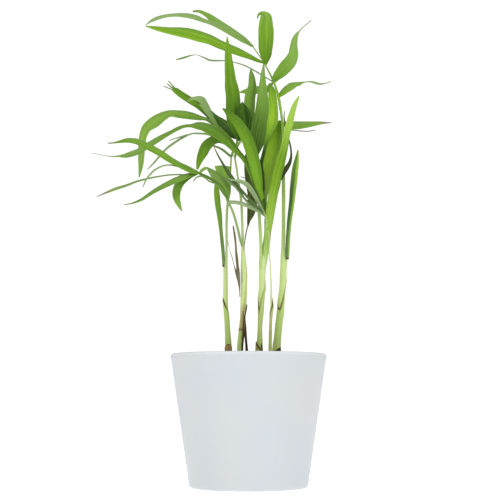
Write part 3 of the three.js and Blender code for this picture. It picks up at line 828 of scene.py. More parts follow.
def blade_rows(readings, widest, turned, twist, fold, dark):
    """Rows of (x, y, z, width, roll) for a blade seen where, and as wide as, it was read.

    The roll about the keel is the one that gives the widest place its true width. Then each section's
    outline is compared with its reading, and keel and width are moved until both agree. A bright blade's
    soft edge melts into the white behind it, so it is made a little wider than it was read."""
    column, row, depth, seen = np.array(readings, float).T
    level = np.column_stack([place_seen(column, row, depth), seen, seen])
    side, face, crossing = keel_crossing(level)
    rolls = turned * ROLLS + twist * np.linspace(0, 1, len(seen))
    turn = np.radians(rolls)[..., None]
    half = 0.5 * (side * np.cos(turn) - face * np.sin(turn))
    keel = level[:, :3]
    per_mm = np.abs(((picture_point(keel + half) - picture_point(keel - half)) * crossing).sum(-1))
    best = np.abs((seen / per_mm).max(1) - widest).argmin()
    limits = SLIMMEST, OVER_WIDEST * widest
    width = np.clip(seen / per_mm[best], *limits)
    wanted = seen - DARK_EDGE if dark else seen + np.where(seen > THIN_TO, SOFT_EDGE, SOFT_EDGE_OF_THIN)
    point = middle = np.column_stack([column, row])
    for _ in range(FITTING_ROUNDS):
        rows = np.column_stack([place_seen(*point.T, depth), width, rolls[best]])
        side, face, crossing = keel_crossing(rows)
        slim = np.minimum(1, width / FULL_THICKNESS_FROM)[:, None]
        slim[-1] *= TIP_THICKNESS
        outline = picture_point(blade_rings(rows, side, face, slim, fold)) - middle[:, None]
        off = (outline * crossing[:, None]).sum(-1)
        point = point - KEEL_STEP * (off.min(1) + off.max(1))[:, None] * crossing
        width = np.clip(width * np.clip(wanted / np.ptp(off, 1), *WIDTH_STEPS), *limits)
    return rows


print("a blade is tried at", len(ROLLS), "rolls and fitted in", FITTING_ROUNDS, "rounds")

# %% Leaflet skin
WAVE = 0.15
WAVE_LENGTH = 34.0
FULL_WAVE_FROM = 6.0


def leaflet(readings, widest, turned=1, twist=0.0, tone=0.5, pale=0.0, sound=1.5, heel=-1.0, half=0.0,
            fold=0.12, dark=False, finish="leaf"):
    """A blade along its readings, as wide as widest in mm, with a slow wave down its edges.

    Turned is 1 or -1, the way it rolls, and twist is the degrees that it rolls on by its tip. Half makes
    one side of the keel younger than the other. Heel is the share at its base that is dry."""
    rows = blade_rows(readings, widest, turned, twist, fold, dark)
    line, length = even_steps(smooth_curve(rows), BLADE_RINGS)
    _, side, face = line_frame(line)
    share = np.linspace(0, 1, BLADE_RINGS)[:, None]
    width = line[:, 3, None]
    seed = (rows[-1][0] * 0.37 + rows[-1][2] * 0.11) % 1.0
    slim = np.minimum(1, 6 * (1 - share) + TIP_THICKNESS) * np.minimum(1, width / FULL_THICKNESS_FROM)
    turns = share * length / WAVE_LENGTH + seed
    ripple = WAVE * np.sin(2 * math.pi * turns) * np.minimum(1, width / FULL_WAVE_FROM)
    places = blade_rings(line, side, face, slim, fold, ripple)
    return skin(places, finish, across=0.5 + 0.5 * REACH, along=share, lower=1.0 * (np.sin(ROUND_ANGLE) < 0),
                tone=spread(tone, share) + half * np.tanh(4 * REACH), pale=spread(pale, share), sound=sound,
                heel=heel, seed=seed)


def stalk(rows, seed=0.3, flush=0.3, **values):
    """A thin round stalk: a stem without sheaths."""
    return stem_skin(rows, seed=seed, flush=flush, **values)


print("an edge waves by", WAVE, "mm over", WAVE_LENGTH, "mm")


# %% [markdown]
# ## The five stems
# Each stem is a list of readings from the rim upwards: column, row, depth and width. Its foot goes
# straight down into the soil, as planted. The heights of the sheath mouths are in millimetres.
# %% Stems
FINE = {"count": 420, "around": 48}
FOOT = 48.0


def seedling(name, readings, **options):
    """One stem with its foot in the soil, in rings fine enough for a crisp sheath edge."""
    line = stem_line(readings, FOOT)
    skin_of_stem = stem_skin(line, **FINE, **options)
    make_piece("seedling_" + name, {"stem": skin_of_stem}, {"stem": stem_green}, "stem", "stem_" + name)


seedling("left", [
    (228.5, 352, 5, 6.4), (228.2, 342, 5, 5.9), (227.8, 335, 5, 5.2), (227.5, 330, 5, 5),
    (227.2, 324, 5, 4.9), (226.6, 316, 5, 4.9), (226.1, 309, 5, 4.9), (225.5, 301, 5, 5.4),
    (225.5, 290, 5, 5.3), (225.5, 277, 5, 4.9), (225.5, 267, 5, 4.9), (226.2, 258, 5, 3.4),
    (226.5, 250, 5, 2.9), (226.6, 238, 5, 2.9), (226.5, 228, 5, 3), (227.1, 210, 4, 3),
    (228.1, 200, 3.5, 2.9), (230, 180, 3, 2.4), (231, 160, 1.5, 2.2), (231.6, 154, 1, 2)],
    mouth={"low": 109.6, "rise": 9.2}, dark_side=140, darkness=1.3, seed=0.1, flush=0.1)
seedling("inner", [
    (240.2, 352, -5, 6), (240.2, 345, -5, 5.6), (240.5, 338, -5, 5), (241, 331, -5, 4.4),
    (241.5, 327, -5, 4.4), (242.2, 320, -5, 4.6), (242.6, 313, -5, 5), (243.2, 305, -5, 6),
    (243.6, 297, -5, 6.5), (243.7, 288, -5, 6.6), (243.8, 277, -5, 6.7), (243.6, 268, -5, 6.2),
    (243.3, 260, -5, 5.1), (242.9, 252, -5, 4), (242.8, 244, -5, 3.2), (242.6, 235, -5, 2.9),
    (242.2, 222, -5, 2.9), (241.6, 208, -5, 2.9), (240.7, 197, -5, 2.8), (239.6, 189, -5, 2.5),
    (237.9, 178, -5, 2.3), (236.2, 166, -5, 2.2), (234.2, 155, -5, 2)],
    mouth={"low": 104, "rise": 44.5, "facing": 180, "power": 5}, dark_side=60, darkness=0.25,
    knots=[(98, 0.15)], dry=[(105, 8, 0.7)], seed=0.5, wall=0.1)
seedling("centre", [
    (259.6, 352, 1, 6), (259.7, 342, 1, 5.4), (259.9, 333, 1, 4.5), (260, 326, 1, 4.2), (260.4, 319, 1, 4.7),
    (260.8, 311, 1, 5.7), (261.1, 303, 1, 6), (261.35, 296, 1, 6.7), (261.95, 289, 1, 7.2),
    (261.95, 281, 1, 6.9), (262.25, 272, 1, 7.3), (262.55, 264, 1, 8.1), (262.85, 258, 1, 7.5),
    (263.15, 252, 1, 4.5), (263.6, 247, 1, 1)],
    mouth={"low": 111.7, "rise": 18.6, "facing": 125, "power": 0.9, "tilt": -1.3}, dark_side=160, seed=0.8)
seedling("thin", [
    (270.2, 352, -7, 3.3), (270.3, 340, -7, 3), (270.5, 330, -7, 2.8), (270.8, 320, -7, 2.6),
    (271.3, 312, -7, 3.5), (271.9, 306, -7, 3.5), (271.2, 299, -7, 2.6), (271.2, 292, -7, 2),
    (270.9, 280, -7, 1.7), (270.4, 268, -7.5, 1.5), (269.6, 256, -8, 1.3), (269.2, 248, -8, 1.3),
    (269.2, 240, -8, 1.3), (268.2, 230, -8, 1.3)], mouth={"low": 108.2, "rise": 9.8, "facing": 180},
    dark_side=60, dry=[(101, 8, 0.55), (90, 8, 0.3)], seed=0.3, wall=0.1)
seedling("right", [
    (276.2, 352, 3, 7.8), (276.8, 345, 3, 7.7), (277.4, 339, 3, 7.1), (278.1, 332, 3, 6.9),
    (278.7, 326, 3, 6.9), (279.4, 320, 3, 6.9), (280.3, 314, 3, 7.1), (280.7, 308, 3, 6.8),
    (281.1, 302, 3, 6.8), (281.5, 296, 3, 6.6), (282, 290, 3, 6.6), (282.6, 285, 3, 6.8),
    (283.1, 279, 3, 7.5), (283.2, 272, 3, 7.1), (283.7, 266, 3, 7.4), (283.9, 260, 3, 7.6),
    (283.4, 254, 3, 6), (283.2, 248, 3, 4.7), (283.4, 238, 3, 4.5), (283.5, 228, 3.4, 4.2),
    (283.5, 215, 4, 4.1), (283.6, 198, 4.5, 4.2), (283.4, 180, 5, 4.1)],
    mouth={"low": 112, "rise": 21, "facing": 110, "power": 1.5, "tilt": -2.5}, dark_side=105, seed=0.6,
    flush=0.12)

# %% [markdown]
# ## The fronds
# One frond at a time: its stalk first, then its leaflets, each with its readings and its true widest
# width in millimetres. A short stalk that is hidden is given as places and radii in millimetres. Tone
# runs from deep (0) to young (1), and it is also set low where a leaflet lies in shade, so a low tone is
# partly painted shade. Pale shows the underside or bleached tissue, and sound is the share before the dry
# tip.
# %% Frond finishes
LEAFY = {"leaf": leaf_green, "stem": stem_green}
# %% Left frond
make_piece("left_fronds_leaves", {
    "stalk": stalk([
        (-11, 1, 210.2, 0.75), (-9.5, 2, 215.5, 0.8), (-7.5, 3, 219.5, 0.8), (-8, 4, 224.5, 0.5)], seed=0.2),
    "upper_leaflet": leaflet([
        (238, 139, 4, 3), (231, 132.5, 9, 11), (223, 125, 15, 11.5), (213, 117.3, 18, 8.3),
        (200, 105.7, 20.5, 7.6), (190, 100.1, 22, 6.5), (180, 93.6, 23, 6.2), (175, 89.7, 23.5, 5.2),
        (173, 88.5, 24, 2.5)], widest=9, tone=(0, 0.1, 0.12, 0.32, 0.38)),
    "upper_thread": leaflet([
        (175, 88.5, 23.5, 1.5), (172, 85, 23.8, 1.1), (168.3, 80.8, 24.5, 0.7)], widest=2, tone=0.35,
        pale=0.2),
    "middle_thread": leaflet([
        (175.5, 90, 23.5, 1.6), (171, 87, 24, 1.2), (167, 83.5, 24.5, 0.7)], widest=2, tone=0.35, pale=0.2),
    "lower_thread": leaflet([
        (175, 91.3, 23.6, 1.5), (170, 88.8, 24, 1), (163.7, 86.3, 25, 0.6)], widest=2, tone=0.4, pale=0.3),
    "steep_leaflet": leaflet([
        (235, 146, 1.5, 2), (226, 137, 0, 2), (219, 129, -1.5, 1.8), (216, 124.5, -2.5, 3),
        (212, 118, -3.5, 4.2), (207.5, 110, -5, 6), (204, 104, -6.5, 7), (201, 100.2, -7.5, 7),
        (196.5, 98.7, -8.5, 3.8), (192, 99, -9.3, 3), (187.3, 101.3, -10, 1.2)], widest=11,
        tone=(0.3, 0.35, 0.5), pale=(0.2, 0.3, 0.7, 0.6)),
    "arching_leaflet": leaflet([
        (233.8, 146.5, 2.6, 2), (226, 136, 5, 4), (217, 126.5, 9, 4), (207, 119.6, 13, 2.8),
        (200, 118.1, 16, 4.2), (190, 115.8, 18.5, 7), (180, 114.2, 21, 7.7), (171, 113.5, 23.5, 6.4),
        (163.7, 116.1, 25, 8.4), (155.2, 121.5, 26, 10.8), (146.7, 127.8, 27, 9), (143.2, 136, 27, 7.4),
        (142.1, 143, 26.8, 7.2), (141.3, 155, 26.3, 6.1), (140.9, 165, 25.7, 4.4), (139.2, 177.3, 25, 1)],
        widest=10.5, tone=(0.3, 0.3, 0.5, 0.5, 0.45), pale=(0.2, 0.1, 0.2, 0.3)),
    "pale_strip": leaflet([
        (233.5, 147.5, 3, 1.2), (222, 140.5, 8, 1.8), (209, 134.6, 16, 1.9), (200, 133.5, 21.5, 1.8),
        (190, 134.4, 28, 1.8), (168.4, 147.1, 36, 2), (152.4, 164.5, 39.5, 1.6), (147.4, 169.5, 40, 0.7)],
        widest=4, tone=0.4, pale=0.9),
    "pale_strip_end": leaflet([
        (187, 134.8, 29, 1.2), (180, 137, 31, 1.1), (175, 138.5, 33, 0.9), (169, 140.5, 35, 0.5)], widest=2,
        tone=0.3, pale=0.8),
    "drooping_leaflet": leaflet([
        (233.5, 149.5, 1.6, 2), (227, 143, 4, 5), (220, 139.6, 6, 7), (213.2, 140.8, 9, 8.8),
        (206.7, 145.8, 12, 10.3), (202.8, 152.7, 15, 9.5), (199.6, 160, 16.5, 6.2), (197.2, 169.5, 18, 1.8)],
        widest=8.5, tone=(0.1, 0.2, 0.45)),
    "short_strip": leaflet([
        (231.2, 156.8, 0.6, 1.9), (221.7, 149.3, -4, 2.2), (213.2, 145.5, -7, 1.6)], widest=2.6, tone=0.6,
        pale=0.85, sound=0.95),
}, LEAFY, "leaf", "frond_left")
# %% Inner frond
make_piece("inner_frond_leaves", {
    "stalk": stalk([
        (-8.6, -5, 208.3, 0.7), (-8, -4, 214, 0.75), (-5.5, -2, 219, 0.75), (-3.5, 0, 222.5, 0.5)],
        seed=0.4),
    "left_leaflet": leaflet([
        (240, 141, -1, 3), (236.6, 132, -0.4, 9.5), (234.2, 123, 0.2, 13), (233.3, 113, 0.7, 13.8),
        (233, 97, 1, 13.8), (231.8, 88, 1, 13.5), (230.5, 79, 1, 10.8), (229.6, 70, 0.8, 9.2),
        (228.7, 61, 0.5, 7.4), (227.9, 50, 0, 5.3), (227.2, 37, -1, 0.8)], widest=11.5,
        tone=(0.15, 0.35, 0.5)),
    "shaded_leaflet": leaflet([
        (242.5, 141, -2, 3), (244.5, 130, -2.4, 10), (244.4, 120, -2.2, 13.6), (243.4, 112, -1.8, 12.4),
        (242.6, 106, -1.4, 6.5), (242.3, 102, -1, 1)], widest=9, tone=(-0.05, 0, 0.1)),
    "right_leaflet": leaflet([
        (243, 141, 0, 2.5), (247.6, 131, 2, 8), (248.7, 121, 4, 9.3), (249.2, 110, 6.5, 10.3),
        (249.7, 102, 8.5, 10.6), (250.5, 95, 10.5, 10.5), (252.4, 88, 12, 9), (252.2, 80, 13.8, 6.5),
        (251.7, 75, 15, 4.7), (251, 69.5, 16, 1.2)], widest=9, tone=(0.35, 0.48), pale=(0.1, 0.3)),
}, LEAFY, "leaf", "frond_inner")
# %% Low frond
make_piece("low_frond_leaves", {
    "stalk": stalk(stem_line([
        (242, 246.5, -5.4, 1.6), (241, 242.5, -7, 2.4), (239.4, 236, -8.5, 2.6), (238.1, 230, -10, 2.6),
        (236.8, 225, -11.2, 2.6), (235.5, 220, -12.4, 2.5), (232.1, 210, -14.6, 2.4),
        (229.3, 204.3, -16.8, 2.2), (226, 199, -18.5, 1.5)]), seed=0.6, finish="leaf", tone=0.45, pale=0.85,
        sound=1.5, heel=-1),
    "side_stalk": stalk([
        (-12, -16.5, 175.5, 0.6), (-16.3, -21, 185.6, 0.85), (-21, -24, 188.9, 0.9), (-24.5, -26, 191, 0.9),
        (-32, -30, 193.7, 0.7)], seed=0.8, finish="leaf", tone=0.2, pale=0.1, sound=1.5, heel=-1),
    "long_leaflet": leaflet([
        (198, 172.5, -30, 2.5), (190, 169.8, -32.5, 5.4), (180, 165.1, -35, 5.5), (170, 159.5, -37, 6),
        (160, 153.1, -39, 5.9), (150, 147.6, -40.5, 5.8), (142, 143.6, -41, 5.8), (136, 141.3, -41.5, 5.7),
        (130, 140.4, -42, 5.1), (125, 140.6, -42, 4.2), (120, 141.6, -42, 2.6), (114, 142.7, -42, 1.5),
        (108, 143.2, -42, 0.9)], widest=8.5, tone=(0.35, 0.45, 0.42), pale=(0.05, 0), sound=0.96),
    "thin_strip": leaflet([
        (197, 174, -30, 1.2), (188, 174.8, -28.5, 1.3), (178, 174.6, -27, 1.3), (168, 175.1, -25, 1.2),
        (158, 176.6, -23.5, 1.2), (150, 178.1, -22, 1.5), (138, 181.1, -19.5, 2), (126, 185.6, -17, 2.3),
        (115, 189, -15, 2.2), (104, 193.5, -13, 1.4), (97, 196.5, -12, 0.6)], widest=4, tone=0.4, pale=0.45,
        sound=0.88),
    "lower_leaflet": leaflet([
        (197.5, 173.6, -30, 1.5), (188, 175.4, -33.5, 4), (179.2, 178.9, -38, 6), (170.2, 182.9, -42, 5.5),
        (160.2, 187.9, -45, 4.2), (150.2, 193.8, -48, 2.9), (142.2, 199.2, -49.3, 2.3), (136, 202, -50, 1.9),
        (130, 203.8, -50.5, 1.2), (124, 204.6, -51, 0.7)], widest=8, tone=(0.42, 0.38), pale=(0.15, 0.2),
        sound=0.96),
    "drooping_leaflet": leaflet([
        (196, 174.3, -29.5, 2), (189.9, 176, -30.5, 4.6), (184.4, 179, -31.5, 7.1), (179.2, 184.5, -33, 8.2),
        (176.9, 191, -34, 8.1), (177.1, 199, -36, 5.9), (179.4, 205.5, -36.6, 3.4), (182, 211, -37, 0.8)],
        widest=8.5, tone=(0.4, 0.45), pale=0.15),
    "outer_strip": leaflet([
        (187.2, 168.6, -33.4, 1.1), (168.2, 165.1, -40, 1.6), (156.2, 169.1, -46, 1.6),
        (147.2, 178.1, -50, 1.4), (142.7, 187.6, -52, 0.7)], widest=3.5, tone=0.4, pale=0.9),
    "stub": leaflet([
        (199.5, 173.2, -29.6, 2), (202.5, 170, -31, 2.6), (205.3, 168.2, -32, 2.4),
        (208, 168.6, -32.5, 1.4)], widest=2.9, tone=0.5, pale=0.4),
    "curled_strip": leaflet([
        (213.5, 183, -24.5, 1.2), (209, 181, -27, 1.3), (206, 178.5, -29, 1.3), (203, 176.8, -30.5, 1.3),
        (199.5, 176.3, -32, 1.4), (196, 178, -33.5, 1.2), (193.3, 181.7, -35, 0.7)], widest=3.5, tone=0.4,
        pale=0.4, sound=0.9),
    "inner_leaflet": leaflet([
        (228, 200, -17.5, 1.5), (224, 190, -16, 7), (219.5, 181, -15, 10.5), (214, 173.5, -13, 7.5),
        (206.5, 167, -9, 0.8)], widest=9, tone=(0.5, 0.4), pale=(0.3, 0.4)),
    "end_leaflet": leaflet([
        (227.8, 201, -16.7, 1.5), (227.5, 192, -13, 6), (225.5, 182, -10, 10), (223.8, 173, -7, 14),
        (222.9, 166.3, -5, 16)], widest=10.8, tone=(0.45, 0.5), pale=0.25),
}, LEAFY, "leaf", "frond_low")
# %% Tall frond
make_piece("tall_frond_leaves", {
    "stalk": stalk(stem_line([
        (262.6, 296, 1, 0.8), (262.3, 284, 1, 1.8), (261.4, 268, -0.5, 2.6), (260.9, 258, -1.2, 3),
        (260.8, 250, -1.6, 3), (260.7, 240, -2, 3.1), (260.1, 230, -2.2, 3.2), (259.6, 220, -2.5, 3.1),
        (259, 212, -2.8, 3), (259.5, 206, -3, 2.8), (260.5, 195, -3, 2.4), (261.5, 187.5, -3, 1.6)]),
        seed=0.7),
    "long_arching_leaflet": leaflet([
        (259.5, 206, -3.5, 2), (256, 188, -6, 4), (249.6, 170, -9, 4.2), (244.5, 159.8, -11, 4.4),
        (239.8, 154.2, -12, 4.9), (235.4, 149.6, -13, 6.6), (225, 138.5, -15, 10), (216, 132, -17, 10.5),
        (207, 128, -18.5, 9), (200, 126, -19.5, 7.8), (196, 125.9, -20, 6.8), (192, 125.8, -20.3, 3.6),
        (186, 125.9, -20.9, 3), (180, 127.6, -21.3, 3.4), (169.7, 132.9, -21.7, 3.3),
        (159.7, 138.4, -22, 4.6), (149.7, 144.5, -22, 5.8), (137.7, 151.7, -21.7, 5.7),
        (129.7, 154.4, -21.3, 5.2), (124.7, 155.6, -21, 3.6), (120, 156, -20.8, 1.8),
        (114, 156.4, -20.5, 0.9), (107, 156, -20, 0.6), (100, 154.6, -19.5, 0.5), (92.5, 153.3, -19, 0.5)],
        widest=10.5, twist=36, tone=(0.5, 0.45, 0.3, 0.35, 0.45, 0.45),
        pale=(0.3, 0.15, 0.05, 0.1, 0.3, 0.3), sound=1.5),
    "left_leaflet": leaflet([
        (260, 212, -3.5, 2), (262, 198, -4, 5), (259.5, 188, -5.5, 7), (254.5, 163, -11.5, 11.5),
        (247.5, 140, -17.5, 11.2), (237, 122.2, -23, 9.4), (228.3, 113.6, -26.3, 5.6),
        (225.2, 110.4, -27.2, 3), (222.5, 108.6, -28, 1.2)], widest=10, tone=(0.5, 0.4, 0.22)),
    "tall_leaflet": leaflet([
        (265.4, 217, -4, 1.5), (264.3, 210, -4, 3), (262.7, 200, -3.6, 4.6), (261, 190, -3.2, 5),
        (259, 175, -2.2, 5), (256, 163, -1.2, 5), (254.6, 155, -0.5, 6.6), (256.2, 146, 0.8, 11.3),
        (257.6, 140, 1.6, 13.8), (259.1, 130, 2.5, 15), (262.5, 110, 5, 13.5), (262.9, 90, 8, 8.4),
        (262.9, 76, 9.2, 4.6), (263.8, 63.5, 10, 1)], widest=12, tone=(0.2, 0.2, 0.1, 0.25, 0.42, 0.5),
        pale=(0, 0, 0, 0.1, 0.25, 0.4)),
    "bright_leaflet": leaflet([
        (263.8, 195, -3.1, 1.4), (262.9, 184, -3.5, 3.2), (262, 174, -4.2, 3.6), (261.2, 164, -5, 3.2),
        (263, 155.5, -5.6, 3.2), (264.4, 150, -6.2, 3.2), (265.5, 145, -7, 3.2), (266.6, 140, -8, 3.6),
        (268.4, 135, -9, 5), (270.1, 130, -10, 6.8), (272.9, 120, -12.2, 9.8), (273.4, 110, -14, 8.9),
        (272.8, 100, -16.5, 8.6), (272.3, 95, -17.7, 8), (271.8, 90, -18.8, 6.2), (271, 85.2, -20, 1.5)],
        widest=9.5, tone=(0.1, -0.2, -0.3, 0.1, 0.5, 0.65, 0.55, 0.35)),
}, LEAFY, "leaf", "frond_tall")
# %% Young frond
make_piece("young_frond_leaves", {
    "stalk": stalk(stem_line([
        (262.6, 290, 1, 1), (263.1, 278, 1, 2.4), (263.9, 268, 1, 4.2), (264.6, 258, 1, 6.4),
        (265.3, 250, 1, 7.6), (266.4, 240, 1, 6.2), (267.3, 230, 1, 6.2), (267.4, 220, 1, 6.2),
        (268, 210, 1, 4.4), (269, 200, 1, 1.6)]), seed=0.9, flush=(0, 0, 0.3, 0.55, 0.75, 0.8, 0.8, 0.8)),
    "withered_edge": leaflet([
        (270.6, 231, -1.6, 0.4), (270.3, 236, -1.4, 0.9), (269.8, 241, -1.2, 1.1), (269.4, 247, -1, 0.9),
        (269.2, 252, -0.9, 0.4)], widest=1, dark=True, sound=-1),
    "broad_leaflet": leaflet([
        (266.6, 232, 1.4, 1), (266, 220, 2, 2), (265.3, 208, 2.8, 2.4), (265.3, 198, 3.5, 3.4),
        (266.2, 190, 4, 5.2), (267.3, 180, 5, 8.4), (268.5, 170, 6.5, 11.5), (270.5, 158, 8.8, 15),
        (275.8, 140, 12.5, 12.8), (278.6, 125, 14.8, 6.6), (280.4, 120.5, 15, 1.5)], widest=12,
        tone=(0.2, 0.35, 0.3, -0.15), pale=(0.1, 0.1, 0, 0), half=-0.1),
    "pointed_leaflet": leaflet([
        (266.4, 246, 0.8, 3), (267.2, 240, 0.2, 5.4), (268.1, 230, -0.9, 6.4), (269.4, 220, -1.8, 7.4),
        (270.4, 210, -3, 8.6), (272.2, 200, -4.4, 8.9), (273.9, 190, -5.7, 9.8), (275.2, 185, -6.2, 9.8),
        (277.2, 175, -7.8, 9.2), (279.9, 165, -9.5, 8.8), (282.5, 155, -11, 7.8), (284.9, 145, -12.8, 7.2),
        (286.7, 135, -14.3, 6.4), (289.2, 125, -15.5, 7), (291.6, 115, -16.8, 5.6),
        (293.8, 107.5, -18.3, 4.8), (296.2, 101.8, -19.2, 3.2), (299, 96.2, -20, 1)], widest=7.5,
        tone=(0.35, 0.45, 0.2, 0.15, 0.5, 0.5), pale=(0.5, 0.15, 0, 0, 0.15, 0.3)),
}, {"leaf": young_green, "stem": stem_green}, "young_leaf", "frond_young")
# %% Silver frond
make_piece("silver_frond_leaves", {
    "stalk": stalk([
        (11.5, -8, 162.2, 0.55), (11, -8.5, 169, 0.6), (9.5, -9, 171.5, 0.5)], seed=0.5),
    "long_dark_leaflet": leaflet([
        (265.5, 216.5, -8.5, 1.6), (260, 210, -9.6, 2), (254, 203.7, -11, 2.6), (248, 197.5, -12.4, 2.4),
        (243, 192, -13.8, 2.3), (238, 186, -15.2, 2.4), (233, 179, -16.8, 3), (229.5, 174.3, -18, 3.1),
        (226, 169.3, -19.2, 2.5), (222, 162.3, -21, 1.9), (218, 155.3, -22.6, 1.4), (213.5, 146, -24, 0.8)],
        widest=3.4, tone=(0.3, 0.05), sound=0.97),
    "short_dark_leaflet": leaflet([
        (265, 214.5, -7.4, 1), (262.3, 207.5, -7.8, 1.8), (259.7, 201, -8.6, 2.4), (257, 195, -9.6, 3),
        (254, 189.5, -10.8, 3.2), (250.6, 184.7, -12, 2.6), (247, 181.3, -13, 1)], widest=4,
        tone=(0.15, 0.1)),
    "upper_pale_leaflet": leaflet([
        (265, 215.5, -8.5, 1.6), (263, 211, -9, 2), (259.5, 204.5, -9.8, 2.6), (256, 198, -10.8, 3.2),
        (252.5, 192, -11.8, 3.7), (249, 187, -12.7, 4.1), (245, 183.3, -14, 4), (240, 181, -15.5, 3.4),
        (234, 180.2, -17.4, 1.8), (228, 178.5, -19, 0.9)], widest=4.2, turned=-1, tone=(0.4, 0.8), pale=0.4),
    "lower_pale_leaflet": leaflet([
        (264, 215, -8.7, 1.8), (258, 211, -10.2, 3), (250, 206.9, -12, 3.6), (245, 204.8, -13.6, 3.8),
        (240, 203.2, -15.4, 3.6), (235, 202.4, -17.4, 3.2), (230, 202.3, -19.6, 2.8),
        (227, 202.5, -21, 1.4)], widest=3.8, tone=(0.4, 0.45, 0.4, 0.35), pale=(0.4, 0.45, 0.65, 0.65)),
    "narrow_leaflet": leaflet([
        (264.5, 215.3, -8.7, 1.2), (258, 209.4, -9.9, 2.4), (253, 206, -10.8, 2.4), (248, 202.2, -11.8, 2.2),
        (244, 198, -12.8, 1.9), (241, 193.5, -13.8, 2.2), (238, 189, -14.8, 2.8), (235, 185.5, -15.8, 3),
        (231, 182.8, -17, 3.3), (228, 180.7, -18, 2), (224.5, 178.6, -19, 0.9)], widest=3.4, tone=(0.4, 0.3),
        pale=0.2),
}, {"leaf": silver_green, "stem": stem_green}, "silver_leaf", "frond_silver")
